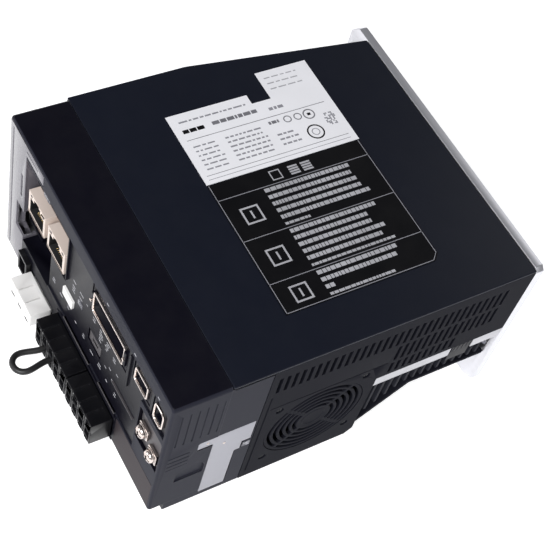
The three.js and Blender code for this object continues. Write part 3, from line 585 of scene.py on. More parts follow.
class DRIVE_OT_stage(bpy.types.Operator):
    """Camera, soft lights and a plain pale floor"""

    bl_idname = "drive.stage"
    bl_label = "Stage"

    def execute(self, context):
        scene = context.scene
        self.camera(scene)
        self.lights(scene)
        self.floor(scene)
        scene.view_settings.view_transform = "Standard"
        scene.view_settings.look = "None"
        return {"FINISHED"}

    def camera(self, scene):
        """The camera, turned by its own right and up directions."""
        lens = bpy.data.cameras.new("Camera")
        lens.lens = scene.drive_sizes.camera_lens / MM
        lens.sensor_width = SENSOR
        lens.clip_start = 0.01
        camera = bpy.data.objects.new("Camera", lens)
        right, up = Vector(CAMERA_RIGHT).normalized(), Vector(CAMERA_UP).normalized()
        back = right.cross(up).normalized()
        up = back.cross(right)
        turn = Matrix((right, up, back)).transposed().to_4x4()
        camera.matrix_world = Matrix.Translation(CAMERA_PLACE) @ turn
        scene.collection.objects.link(camera)
        scene.camera = camera

    def lights(self, scene):
        """Soft round lights that face the drive, under an even sky."""
        for name, place, size, power in LIGHTS:
            lamp = bpy.data.lights.new(name, "AREA")
            lamp.shape = "DISK"
            lamp.size = size
            lamp.energy = power
            item = bpy.data.objects.new(name, lamp)
            item.location = place
            toward = Vector(LIGHT_AIM) - Vector(place)
            item.rotation_euler = toward.to_track_quat("-Z", "Y").to_euler()
            scene.collection.objects.link(item)
        world = bpy.data.worlds.new("Studio")
        world.use_nodes = True
        sky = world.node_tree.nodes["Background"]
        sky.inputs["Color"].default_value = SKY_COLOUR
        sky.inputs["Strength"].default_value = SKY_STRENGTH
        scene.world = world

    def floor(self, scene):
        """A plain pale floor that glows a little, just under the drive."""
        ground = bmesh.new()
        bmesh.ops.create_grid(ground, x_segments=8, y_segments=8, size=FLOOR_REACH)
        data = bpy.data.meshes.new("Floor")
        ground.to_mesh(data)
        ground.free()
        floor = bpy.data.objects.new("Floor", data)
        floor.location = (0, 0, -FLOOR_DROP)
        pale = bpy.data.materials.new("Pale floor")
        pale.use_nodes = True
        shader = pale.node_tree.nodes["Principled BSDF"]
        shader.inputs["Base Color"].default_value = FLOOR_COLOUR
        shader.inputs["Roughness"].default_value = 0.9
        shader.inputs["Emission Color"].default_value = (1.0, 1.0, 1.0, 1.0)
        shader.inputs["Emission Strength"].default_value = FLOOR_GLOW
        data.materials.append(pale)
        scene.collection.objects.link(floor)


# ------------------------------------------------------------------ jumper
WIRE_RADIUS = 1.4
LOOP_RADIUS = 4.7
LOOP_FOOT = 3.08
LOOP_STEPS = 16
FLARE_STEPS = 8


def jumper_route():
    """The wire's centreline, in millimetres, from one pole out round the bend and back."""
    low, high = span("jumper_wire")
    x = (low.x + high.x) / 2
    z = (low.z + high.z) / 2
    entry = high.y - 0.05
    bend = low.y + LOOP_RADIUS + WIRE_RADIUS
    shoulder = span("mains_plug")[0].y - 1.0
    leg = [(x - LOOP_FOOT, entry), (x - LOOP_FOOT, entry - 2), (x - LOOP_FOOT, shoulder)]
    for step in range(1, FLARE_STEPS):
        part = step / FLARE_STEPS
        ease = part * part * (3 - 2 * part)
        spread = LOOP_FOOT + (LOOP_RADIUS - LOOP_FOOT) * ease
        leg.append((x - spread, shoulder + (bend - shoulder) * part))
    loop = []
    for step in range(LOOP_STEPS + 1):
        angle = math.pi * step / LOOP_STEPS
        loop.append((x - LOOP_RADIUS * math.cos(angle), bend - LOOP_RADIUS * math.sin(angle)))
    back = [(2 * x - a, b) for a, b in reversed(leg)]
    return [Vector((a, b, z)) for a, b in leg + loop + back]


class DRIVE_OT_jumper(bpy.types.Operator):
    """Stiff insulated wire that joins two poles of the mains plug"""

    bl_idname = "drive.jumper"
    bl_label = "Jumper wire"

    def execute(self, context):
        route = [point * MM for point in jumper_route()]
        data = bpy.data.curves.new("jumper", "CURVE")
        data.dimensions = "3D"
        data.bevel_depth = WIRE_RADIUS * MM
        data.bevel_resolution = 5
        data.use_fill_caps = True
        spline = data.splines.new("POLY")
        spline.points.add(len(route) - 1)
        for point, place in zip(spline.points, route):
            point.co = (*place, 1.0)
        spline.use_smooth = True
        wire = bpy.data.objects.new("jumper", data)
        data.materials.append(bpy.data.materials["Wire insulation"])
        context.scene.collection.objects.link(wire)
        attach(wire, "mains_plug")
        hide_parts("jumper_wire")
        return {"FINISHED"}


# ------------------------------------------------------------------ front housing
FRONT_FINISHES = ("Black plastic", "Rim plastic", "Warm black plastic", "Dull plating")
BODY_BLACK, RIM, WARM, PLATED = range(4)
# The recessed connector area, as x and z corners.
CONNECTOR_AREA = ((-57.3, 28.4), (-57.3, 82), (73.0, 82.9), (73.0, 66.2), (54.2, 66.2), (54.2, 28.4))
HOLLOW_CENTRE = 15.5
HOLLOW_HALF = 6.5
HOLLOW_RISE = 6
HOLLOW_LEVELS = (26.5, 32)
LOOSE_MARKS = ((24, 44), (27.5, 48), (30.5, 43.5), (33.5, 52), (22, 57), (44, 84.6), (64, 84.6), (20, 84.6))


class DRIVE_OT_front_shell(bpy.types.Operator):
    """Front housing: rounded face, recessed connector area, ribs and marks"""

    bl_idname = "drive.front_shell"
    bl_label = "Front housing"

    def execute(self, context):
        sizes = context.scene.drive_sizes
        low, high = span("front_housing")
        front = low.y
        shell = Form().node("front_housing")

        def on_face_outline(a, b):
            on_front = abs(a.y - front) < 0.02 and abs(b.y - front) < 0.02
            right = min(a.z, b.z) > high.z - 2.1
            fan = min(a.x, b.x) > high.x - 2.1
            left = max(a.z, b.z) < low.z + 4.6
            return on_front and (right or fan or left)

        shell.round_where(on_face_outline, sizes.front_edge / MM)
        recess = sizes.panel_recess / MM
        shell.cut(Form().prism("y", CONNECTOR_AREA, front - 3, front + recess, edge=0))
        shell.cut(self.end_grooves(front, high.x))
        bmesh.ops.remove_doubles(shell.mesh, verts=shell.mesh.verts, dist=0.004)
        shell.paint(lambda c, n: c.y < front + 0.6
                    and not (c.x > -60 and 28 < c.z < 83 and c.y > front + 0.5), RIM)
        shell.paint(lambda c, n: c.x > high.x - 0.95 and c.y > front + 0.6, RIM)
        shell.paint(lambda c, n: n.y < -0.9 and abs(c.y - front) < 0.05 and c.z < 34, BODY_BLACK)
        self.ridges(shell, front)
        shell.piece("front_shell", "chassis", FRONT_FINISHES, ["front_housing"], "black_plastic")
        self.marks(front, recess)
        return {"FINISHED"}

    def end_grooves(self, front, end):
        """An arched finger hollow and two sets of fine grooves, cut in the fan end."""
        middle = front + HOLLOW_CENTRE
        foot, spring = HOLLOW_LEVELS
        points = [(middle - HOLLOW_HALF, foot), (middle + HOLLOW_HALF, foot),
                  (middle + HOLLOW_HALF, spring)]
        for step in range(1, 10):
            angle = math.pi * step / 10
            points.append((middle + HOLLOW_HALF * math.cos(angle), spring + HOLLOW_RISE * math.sin(angle)))
        points.append((middle - HOLLOW_HALF, spring))
        grooves = Form().prism("x", points, end - 0.8, end + 2, edge=0)
        for index in range(6):
            y = front + 4.5 + index * 3.6
            grooves.prism("x", [(y, 60), (y + 0.8, 60), (y + 0.8, 84), (y, 84)], end - 0.35, end + 2,
                          edge=0)
        for index in range(4):
            z = 40.5 + index * 3.2
            grooves.prism("x", [(front + 3.5, z), (front + 13, z), (front + 13, z + 0.7),
                                (front + 3.5, z + 0.7)], end - 0.3, end + 2, edge=0)
        return grooves

    def ridges(self, shell, front):
        """Raised strips, plated ridges and the warm panel round the earth screws."""
        for z0, z1 in ((7.2, 8.7), (24.4, 26)):
            shell.box(-19, 39.2, front - 0.35, front + 1, z0, z1, finish=BODY_BLACK)
        shell.box(-13, 13, front - 0.4, front + 1, 27.8, 28.4, finish=PLATED)
        shell.box(22, 38, front - 0.4, front + 1, 27.8, 28.4, finish=PLATED)
        shell.box(32, 51, front - 0.1, front + 1.2, 44.8, 45.3, finish=PLATED)
        shell.box(42, 42.9, front - 0.3, front + 1.2, 58, 81, finish=BODY_BLACK)
        shell.box(40.4, 73.2, front - 0.12, front + 0.5, 9.2, 27.8, finish=WARM)
        shell.box(-14.6, -13.8, front - 0.3, front + 1.2, 54, 82, finish=BODY_BLACK)

    def marks(self, front, recess):
        """Small plain ticks of ink beside the connectors."""
        marks = Form()
        chance = random.Random(11)

        def tick(x, z, width, tall, face=front + recess):
            marks.box(x, x + width, face - 0.02, face + 0.3, z, z + tall, edge=0)

        for row in range(7):
            x = -9 + row * 6.4
            for column in range(5):
                if chance.random() < 0.25:
                    continue
                z = 53.4 + column * 1.75
                if -1 <= x <= 6 and z < 57:
                    continue
                tick(x, z, 1.1 + chance.random() * 2.4, 0.55)
        for row in range(9):
            x = -27 + row * 7.6
            width = 1.5 + chance.random() * 1.6
            tick(x, 36.6, width, 0.7)
            if row % 2 == 0:
                tick(x + 0.4, 38.4, width - 0.4, 0.6)
        for x, z in LOOSE_MARKS:
            tick(x, z, 1.7, 0.6, front + (recess if z < 83 else 0.0))
        marks.piece("front_marks", "chassis", ["White ink"], slot="black_plastic")


# ------------------------------------------------------------------ covers and panels
class DRIVE_OT_side_cover(bpy.types.Operator):
    """Painted sheet cover on the right side"""

    bl_idname = "drive.side_cover"
    bl_label = "Side cover"

    def execute(self, context):
        sizes = context.scene.drive_sizes
        cover = Form().node("side_cover")
        low, high = span("side_cover")
        # the sheet's folded rim at the fan end
        cover.box(high.x - 1.0, high.x - 0.15, low.y + 1, high.y - 0.5, high.z - 2.6, high.z - 0.9,
                  edge=0.1)
        cover.piece("right_cover", "chassis", ["Black paint"], ["side_cover"], "black_paint",
                    edge=sizes.sheet_edge * 2.2, segments=3)
        return {"FINISHED"}


# Screws of the fan, as y and z from its middle.
FAN_SCREWS = ((-20.6, 20), (20.6, 20.4), (-20.6, -20), (20.6, -20))
SCREW_SINK = 1.0
CROSS_LENGTH = 1.1
CROSS_WIDTH = 0.2


class DRIVE_OT_panels(bpy.types.Operator):
    """Fan end panel, top end panel and the duct's left side"""

    bl_idname = "drive.panels"
    bl_label = "End panels and duct"

    def execute(self, context):
        sizes = context.scene.drive_sizes
        low, high = span("fan_end_panel")
        guard_low, guard_high = span("finger_guard")
        middle_y = (guard_low.y + guard_high.y) / 2
        middle_z = (guard_low.z + guard_high.z) / 2
        centres = [(middle_y + y, middle_z + z) for y, z in FAN_SCREWS]
        self.fan_end(low, high, centres)
        self.fan_screws(high.x, centres)
        Form().node("top_end_panel").piece("top_panel", "chassis", ["Grey plastic"], ["top_end_panel"],
                                           "grey_plastic", edge=sizes.moulded_edge * 0.8)
        duct_low, duct_high = span("duct_cover")
        duct = Form().node("duct_cover")
        for index in range(3):
            y = -40 + index * 22
            duct.box(duct_low.x + 8, duct_high.x - 8, y, y + 1.2, duct_low.z, duct_low.z + 0.6, edge=0.1)
        duct.piece("left_duct", "chassis", ["Grey plastic"], ["duct_cover"], "grey_plastic",
                   edge=sizes.moulded_edge)
        return {"FINISHED"}

    def fan_end(self, low, high, centres):
        """The panel, with countersinks, two seams and a slot for the earth bar's tongue."""
        tool = Form()
        for y, z in centres:
            tool.rod("x", (high.x, y, z), 1.9, 2.4, sides=20, edge=0)
        seam = low.y + 2
        tool.prism("x", [(seam, 8), (seam + 1, 8), (seam + 1, 70), (seam, 70)], high.x - 0.35, high.x + 1,
                   edge=0)
        start, stop = low.y + 4, low.y + 60
        tool.prism("x", [(start, 60), (start, 59.2), (stop, 59.2), (stop, 60)], high.x - 0.25, high.x + 1,
                   edge=0)
        tool.box(high.x - 1, high.x + 1, low.y + 58.5, low.y + 60.2, 30, 36.8, edge=0)
        panel = Form().node("fan_end_panel").cut(tool)
        panel.piece("end_panel", "chassis", ["Grey plastic"], ["fan_end_panel"], "grey_plastic")

    def fan_screws(self, face, centres):
        """Four cross-headed screws, set just below the panel's face."""
        screws, crosses = Form(), Form()
        for y, z in centres:
            screws.lathe("x", (face - SCREW_SINK, y, z),
                         [(0, 0.55), (1.0, 0.5), (1.55, 0.1), (1.6, -0.8), (0, -0.8)], sides=20)
            for across, along in ((CROSS_LENGTH, CROSS_WIDTH), (CROSS_WIDTH, CROSS_LENGTH)):
                crosses.box(face - 0.9, face + 1, y - across, y + across, z - along, z + along, edge=0)
        screws.cut(crosses)
        screws.piece("fan_screws", "chassis", ["Black epoxy"], slot="grey_plastic")


# ------------------------------------------------------------------ metal structure
class DRIVE_OT_metal(bpy.types.Operator):
    """Mounting plate, finned base plate, clip, earth bar and earth screws"""

    bl_idname = "drive.metal"
    bl_label = "Plates, fins and earth bar"

    def execute(self, context):
        sizes = context.scene.drive_sizes
        Form().node("back_plate").piece("mounting_plate", "chassis", ["Plate aluminium"], ["back_plate"],
                                        "aluminium", edge=sizes.plate_edge)
        low, high = span("panel_clip")
        under = low.z - 0.9
        base = Form().node("heat_sink").paint(lambda c, n: c.z < under, 1)
        base.piece("finned_base", "chassis", ["Fin aluminium", "Dark fins"], ["heat_sink"], "aluminium",
                   edge=sizes.sheet_edge)
        self.edge_clip(low, high)
        self.earth_strap(sizes)
        for node in ("earth_screw_upper", "earth_screw_lower"):
            self.terminal_screw(node)
        return {"FINISHED"}

    def edge_clip(self, low, high):
        """A moulded clip with four grip ribs and a tail that hangs beside the fins."""
        clip = Form()
        clip.box(low.x, high.x - 0.8, low.y, high.y, low.z, high.z, edge=0.4)
        clip.box(high.x - 1.2, high.x, low.y + 0.6, high.y - 0.6, low.z + 0.5, high.z - 0.4, edge=0.3)
        for index in range(4):
            y = low.y + 1.8 + index * 2.3
            clip.box(high.x - 0.4, high.x + 0.15, y, y + 0.9, low.z + 0.9, high.z - 0.9, edge=0.12)
        clip.box(high.x - 2.3, high.x - 0.1, low.y + 0.2, high.y - 0.2, low.z - 6, low.z + 0.8, edge=0.4)
        clip.piece("edge_clip", "chassis", ["Black plastic"], ["panel_clip"], "black_plastic")

    def earth_strap(self, sizes):
        """The earth bar with a punched hole, two rivets, a tongue and a dull front pad."""
        low, high = span("earth_bar")
        strap = Form().node("earth_bar")
        strap.cut(Form().rod("x", (high.x, low.y + 43.5, 51.2), 1.3, 1.0, sides=20, edge=0))
        rivet = [(0, 0.25), (0.5, 0.22), (0.8, 0.0), (0.8, -0.4), (0, -0.4)]
        for y, z in ((low.y + 19.4, 51.2), (low.y + 27.5, 45.6)):
            strap.lathe("x", (high.x, y, z), rivet, sides=16, finish=1)
        strap.box(high.x - 0.6, high.x + 0.15, high.y - 3.4, high.y + 0.2, 34.8, 38.4, edge=0.2)
        strap.paint(lambda c, n: c.y < low.y + 2.8 and c.x < high.x - 2.5, 2)
        strap.piece("earth_strap", "chassis", ["Earth bar plating", "Bright nickel", "Dull plating"],
                    ["earth_bar"], "aluminium", edge=sizes.sheet_edge)

    def terminal_screw(self, node):
        """A pan head with a combined slot and cross, over a square lock washer."""
        low, high = span(node)
        x, z = (low.x + high.x) / 2, (low.z + high.z) / 2
        face, back = low.y, high.y
        half, flat = 3.5, 2.9
        washer = [(-half, -flat), (-flat, -half), (flat, -half), (half, -flat),
                  (half, flat), (flat, half), (-flat, half), (-half, flat)]
        screw = Form()
        screw.prism("y", [(x + a, z + b) for a, b in washer], back - 1.25, back, edge=0.2)
        screw.lathe("y", (x, back - 1.2, z), [(3.2, 0.3), (3.25, -0.35), (2.6, -0.55)], sides=32)
        screw.lathe("y", (x, back - 1.2, z), [(2.2, 0.3), (2.9, -0.3), (2.95, -1.3), (2.5, -2.1),
                                              (1.6, -2.5), (0, -2.6)], sides=32)
        tool = Form()
        tool.box(x - 2.4, x + 2.4, face - 1, face + 1.3, z - 0.42, z + 0.42, edge=0)
        tool.box(x - 0.42, x + 0.42, face - 1, face + 1.3, z - 1.5, z + 1.5, edge=0)
        screw.cut(tool)
        screw.piece(node.replace("earth", "terminal"), "chassis", ["Bright nickel"], [node], "nickel")


# ------------------------------------------------------------------ fan
GUARD_RINGS = 5
GUARD_HUB = 8.3
GUARD_ARMS = 4
RING_HALF = 0.75
BLADES = 7
BLADE_ROOT = 9.2
BLADE_REACH = 13.4
BLADE_STEPS = 7
CHORD_STEPS = 8


class DRIVE_OT_fan(bpy.types.Operator):
    """Finger guard, fan frame and the rotor with its curved blades"""

    bl_idname = "drive.fan"
    bl_label = "Fan"

    def execute(self, context):
        sizes = context.scene.drive_sizes
        low, high = span("finger_guard")
        y, z = (low.y + high.y) / 2, (low.z + high.z) / 2
        self.guard(low, high, y, z)
        Form().node("fan_frame").piece("fan_body", "chassis", ["Black plastic"], ["fan_frame"],
                                       "black_plastic", edge=sizes.moulded_edge)
        self.rotor(y, z)
        return {"FINISHED"}

    def guard(self, low, high, y, z):
        """A domed hub and round rings, joined by four diagonal arms."""
        reach = (high.y - low.y) / 2
        front, back = high.x, low.x
        hub = GUARD_HUB
        guard = Form()
        guard.lathe("x", (0, y, z), [(0, front - 0.25), (hub - 2.2, front - 0.15), (hub - 1.2, front),
                                     (hub - 0.3, front), (hub, front - 0.35), (hub, back + 0.4),
                                     (hub - 0.4, back), (0, back)], sides=48)
        guard.lathe("x", (0, y, z), [(hub - 3.4, front - 0.3), (hub - 3.2, front + 0.02),
                                     (hub - 2.8, front + 0.02), (hub - 2.6, front - 0.3)], sides=48)
        gap = (reach - hub) / GUARD_RINGS
        for step in range(1, GUARD_RINGS + 1):
            radius = hub + gap * step - RING_HALF
            wide = RING_HALF if step < GUARD_RINGS else RING_HALF + 0.15
            guard.lathe("x", (0, y, z), [(radius - wide, back), (radius + wide, back),
                                         (radius + wide, front - 0.3), (radius + wide - 0.3, front),
                                         (radius - wide + 0.3, front), (radius - wide, front - 0.3)],
                        sides=72, closed=True)
        for turn in range(GUARD_ARMS):
            arm = Form().box(back + 0.15, front - 0.1, hub - 0.6, reach - 0.5, -1.0, 1.0, edge=0.25)
            angle = math.pi / 4 + turn * math.pi / 2
            guard.add(arm, Matrix.Translation((0, y, z)) @ Matrix.Rotation(angle, 4, "X"))
        guard.piece("fan_guard", "chassis", ["Grey plastic"], ["finger_guard"], "grey_plastic")

    def rotor(self, y, z):
        """A hub cup with seven swept blades."""
        low, high = span("fan_rotor")
        start, end = low.x + 2.5, high.x
        rotor = Form()
        rotor.lathe("x", (0, y, z), [(0, start), (9.0, start), (9.8, start + 0.6), (9.95, end - 1.4),
                                     (9.2, end - 0.4), (8.0, end), (0, end)], sides=48)
        rotor.rod("x", ((low.x + start) / 2 + 0.5, y, z), 1.15, start - low.x, sides=20)
        middle = Vector(((start + end) / 2 - 0.1, y, z))
        for index in range(BLADES):
            rotor.take(self.blade(middle, math.tau * index / BLADES))
        rotor.piece("fan_blades", "fan", ["Black plastic"], ["fan_rotor"], "black_plastic")

    def blade(self, middle, turn):
        """One blade, with its sections set across the radius, thicker at the root than at the tip."""
        part = bmesh.new()
        rows = []
        for step in range(BLADE_STEPS + 1):
            out = step / BLADE_STEPS
            radius = BLADE_ROOT + BLADE_REACH * step / BLADE_STEPS
            sweep = 0.28 * out ** 1.4
            twist = 0.95 - 0.35 * step / BLADE_STEPS
            ring = []
            for along, across in self.blade_section(step, twist):
                angle = turn + sweep + across / radius
                place = (middle.x + along * 0.92, middle.y + radius * math.cos(angle),
                         middle.z + radius * math.sin(angle))
                ring.append(part.verts.new(place))
            rows.append(ring)
        for first, second in zip(rows, rows[1:]):
            for i in range(len(first)):
                j = (i + 1) % len(first)
                part.faces.new((first[i], first[j], second[j], second[i]))
        part.faces.new(rows[0][::-1])
        part.faces.new(rows[-1])
        return part

    def blade_section(self, step, twist):
        """A cambered section's outline: along the axle, and across it."""
        chord = 8.6 + 2.2 * step / BLADE_STEPS
        thick = 1.15 - 0.6 * step / BLADE_STEPS
        outline = []
        for side, samples in ((1, range(CHORD_STEPS + 1)), (-1, range(CHORD_STEPS, -1, -1))):
            for k in samples:
                t = k / CHORD_STEPS
                camber = math.sin(math.pi * t) * 0.9
                half = thick * math.sqrt(max(0.02, math.sin(math.pi * min(1.0, 0.06 + t * 0.9)))) / 2
                u = (t - 0.5) * chord
                v = camber + side * half
                outline.append((u * math.cos(twist) - v * math.sin(twist),
                                u * math.sin(twist) + v * math.cos(twist)))
        return outline


# ------------------------------------------------------------------ operation cover
DIAL_TICKS = 10
TICK_START = 2.9
TICK_END = 3.7
DIAL_ARROW = ((-1.35, -0.3), (0.5, -0.3), (0.5, -0.75), (1.45, 0), (0.5, 0.75), (0.5, 0.3), (-1.35, 0.3))


class DRIVE_OT_operation_cover(bpy.types.Operator):
    """Hinged cover, its pin, and the address switches and monitor socket behind it"""

    bl_idname = "drive.operation_cover"
    bl_label = "Operation cover"

    def execute(self, context):
        sizes = context.scene.drive_sizes
        low, high = span("operation_cover")
        cover = Form().node("operation_cover")
        grooves = Form()
        grooves.box(low.x + 3.2, low.x + 3.6, low.y - 1, low.y + 0.25, low.z + 2, high.z - 2, edge=0)
        grooves.box(-57.5, -46.5, low.y - 1, low.y + 0.5, 86.2, 86.8, edge=0)
        grooves.box(-61.8, -60.0, low.y - 1, low.y + 0.6, 54, 68, edge=0)
        cover.cut(grooves)
        for index in range(3):
            x = -61.6 + index * 0.55
            cover.box(x, x + 0.25, low.y + 0.15, low.y + 0.65, 54.0, 68.0, edge=0.05)
        cover.box(-66.3, -65.0, low.y + 0.6, low.y + 4.6, 28.6, 46.4, edge=0.1)
        cover.box(-65.6, -57.6, low.y + 0.6, low.y + 4.6, 28.0, 29.0, edge=0.1)
        cover.box(-65.6, -57.6, low.y + 0.6, low.y + 4.6, 46.0, 47.0, edge=0.1)
        cover.piece("hinged_cover", "cover", ["Lilac plastic"], ["operation_cover"], "lilac_plastic",
                    edge=sizes.moulded_edge)
        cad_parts["cover_pin"].data.materials.clear()
        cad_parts["cover_pin"].data.materials.append(bpy.data.materials["Bright nickel"])
        for name in ("units", "tens"):
            self.address_switch(name)
            self.address_dial(name)
        self.monitor_port(sizes)
        return {"FINISHED"}

    def monitor_port(self, sizes):
        """A white socket with two rows of four contacts."""
        low, high = span("monitor_socket")
        socket = Form().node("monitor_socket")
        for index in range(4):
            z = low.z + 2.1 + index * 2.0
            for x in (low.x + 1.6, high.x - 2.2):
                socket.box(x, x + 0.6, low.y + 1.2, high.y - 1, z, z + 0.6, finish=1, edge=0.1)
        socket.piece("monitor_port", "chassis", ["White plastic", "Contact gold"], ["monitor_socket"],
                     "white_plastic", edge=sizes.moulded_edge)

    def address_switch(self, name):
        """A square body with ten ticks round its dial."""
        node = f"address_switch_{name}"
        low, high = span(node)
        x, z = (low.x + high.x) / 2, (low.z + high.z) / 2
        body = Form().node(node)
        for index in range(DIAL_TICKS):
            tick = Form().box(TICK_START, TICK_END, low.y - 0.04, low.y + 0.1, -0.12, 0.12, edge=0)
            angle = math.tau * index / DIAL_TICKS
            body.add(tick, Matrix.Translation((x, 0, z)) @ Matrix.Rotation(angle, 4, "Y"))

        def on_tick(c, n):
            away = Vector((c.x - x, c.z - z)).length
            return low.y - 0.05 < c.y < low.y + 0.06 and 2.8 < away < 3.8 and abs(c.y - low.y) > 0.001

        body.paint(on_tick, 1)
        body.piece(f"switch_{name}", "chassis", ["Black plastic", "White ink"], [node], "black_plastic")

    def address_dial(self, name):
        """A round dial with an arrow-shaped slot."""
        node = f"address_dial_{name}"
        low, high = span(node)
        x, z = (low.x + high.x) / 2, (low.z + high.z) / 2
        radius = (high.x - low.x) / 2
        size = high.y - low.y
        dial = Form()
        dial.lathe("y", (x, low.y, z), [(0, 0), (radius - 0.35, 0), (radius - 0.05, 0.3),
                                        (radius - 0.05, 0.9), (radius - 0.3, 1.1), (radius - 0.3, size),
                                        (0, size)], sides=32)
        arrow = [(x + a, z + b) for a, b in DIAL_ARROW]
        dial.cut(Form().prism("y", arrow, low.y - 1, low.y + 0.8, edge=0))
        dial.piece(f"dial_{name}", f"{name}_dial", ["Cream plastic"], [node], "cream_plastic")


# ------------------------------------------------------------------ display and lamps
class DRIVE_OT_display(bpy.types.Operator):
    """Two-digit display behind a smoked window, and the lamp guides"""

    bl_idname = "drive.display"
    bl_label = "Display and lamps"

    def execute(self, context):
        sizes = context.scene.drive_sizes
        low, high = span("display_module")
        body = Form().node("display_module")
        for z in (low.z + 5.8, low.z + 12.6):
            self.digit(body, (low.x + high.x) / 2, low.y + 1.0, z)
        window = [(low.x + 1.6, low.z + 1.8), (high.x - 1.6, low.z + 1.8), (high.x - 1.6, high.z - 1.8),
                  (low.x + 1.6, high.z - 1.8)]
        body.prism("y", window, low.y + 0.45, low.y + 0.8, finish=1, edge=0.1)
        body.piece("display_unit", "chassis", ["Black plastic", "Smoked window", "Display segment"],
                   ["display_module"], "black_plastic", edge=sizes.moulded_edge)
        low, high = span("status_lamp_guide")
        guide = Form()
        guide.box(low.x, high.x, low.y, high.y, low.z, high.z, edge=0.4)
        guide.box(low.x + 0.8, high.x - 0.8, low.y - 0.25, low.y + 0.5, low.z + 0.8, high.z - 0.8, edge=0.3)
        guide.piece("status_lamp", "chassis", ["Clear guide"], ["status_lamp_guide"], "clear_sheet")
        low, high = span("charge_lamp_guide")
        lamp = Form().node("charge_lamp_guide")
        lamp.rod("y", ((low.x + high.x) / 2, low.y + 0.1, low.z + 1.5), 1.1, 0.7, sides=20, edge=0.2)
        lamp.piece("charge_lamp", "chassis", ["Clear guide"], ["charge_lamp_guide"], "clear_sheet")
        return {"FINISHED"}

    def digit(self, body, x, y, z):
        """Seven unlit bars; the number stands with its top toward the top end."""
        tall, wide, bar = 4.6, 2.6, 0.5
        for along in (-tall, 0, tall):
            body.box(x + along - bar / 2, x + along + bar / 2, y - 0.65, y - 0.35, z - wide + 0.6,
                     z + wide - 0.6, finish=2, edge=0.05)
        for across in (-wide, wide):
            for along in (-tall / 2, tall / 2):
                body.box(x + along - tall / 2 + 0.6, x + along + tall / 2 - 0.6, y - 0.65, y - 0.35,
                         z + across - bar / 2, z + across + bar / 2, finish=2, edge=0.05)


# ------------------------------------------------------------------ connectors
LAMP_OFFSET = 5.9
JACK_WAYS = 8
JACK_PITCH = 1.02


class DRIVE_OT_network_jacks(bpy.types.Operator):
    """Two eight-way network jacks with contacts, ribs and lamp windows"""

    bl_idname = "drive.network_jacks"
    bl_label = "Network jacks"

    def execute(self, context):
        sizes = context.scene.drive_sizes
        for node in ("network_jack_in", "network_jack_out"):
            low, high = span(node)
            x = (low.x + high.x) / 2
            jack = Form().node(node)
            lamps = (x - LAMP_OFFSET, x + LAMP_OFFSET)
            tool = Form()
            for lamp in lamps:
                tool.box(lamp - 1.0, lamp + 1.0, low.y - 1, low.y + 0.7, high.z - 2.6, high.z - 0.9, edge=0)
            tool.box(x - 1.6, x + 1.6, low.y - 1, low.y + 1.5, high.z - 1.4, high.z - 0.5, edge=0)
            jack.cut(tool)
            # Painted shade: the inner faces of each jack's mouth, beyond the first millimetre, get the
            # shade black in place of the cream plastic.
            jack.paint(lambda c, n: low.x + 1.4 < c.x < high.x - 1.4 and c.y > low.y + 1.0
                       and low.z + 1.0 < c.z < high.z - 1.0 and c.y < low.y + 13, 3)
            for lamp in lamps:
                jack.box(lamp - 0.85, lamp + 0.85, low.y + 0.12, low.y + 0.9, high.z - 2.45, high.z - 1.05,
                         finish=2, edge=0.15)
            for index in range(JACK_WAYS):
                wire = x + (index - (JACK_WAYS - 1) / 2) * JACK_PITCH
                jack.prism("x", [(low.y + 2.2, low.z + 1.5), (low.y + 10.5, low.z + 4.0),
                                 (low.y + 10.5, low.z + 4.3), (low.y + 2.2, low.z + 1.8)], wire - 0.16,
                           wire + 0.16, finish=1, edge=0)
            jack.box(low.x + 0.2, high.x - 0.2, low.y - 0.25, low.y + 0.6, low.z, low.z + 0.9, edge=0.2)
            jack.piece(node.replace("network_jack", "network_port"), "chassis",
                       ["Cream plastic", "Contact gold", "Clear guide", "Painted shade black"], [node],
                       "cream_plastic", edge=sizes.moulded_edge * 0.8)
        return {"FINISHED"}


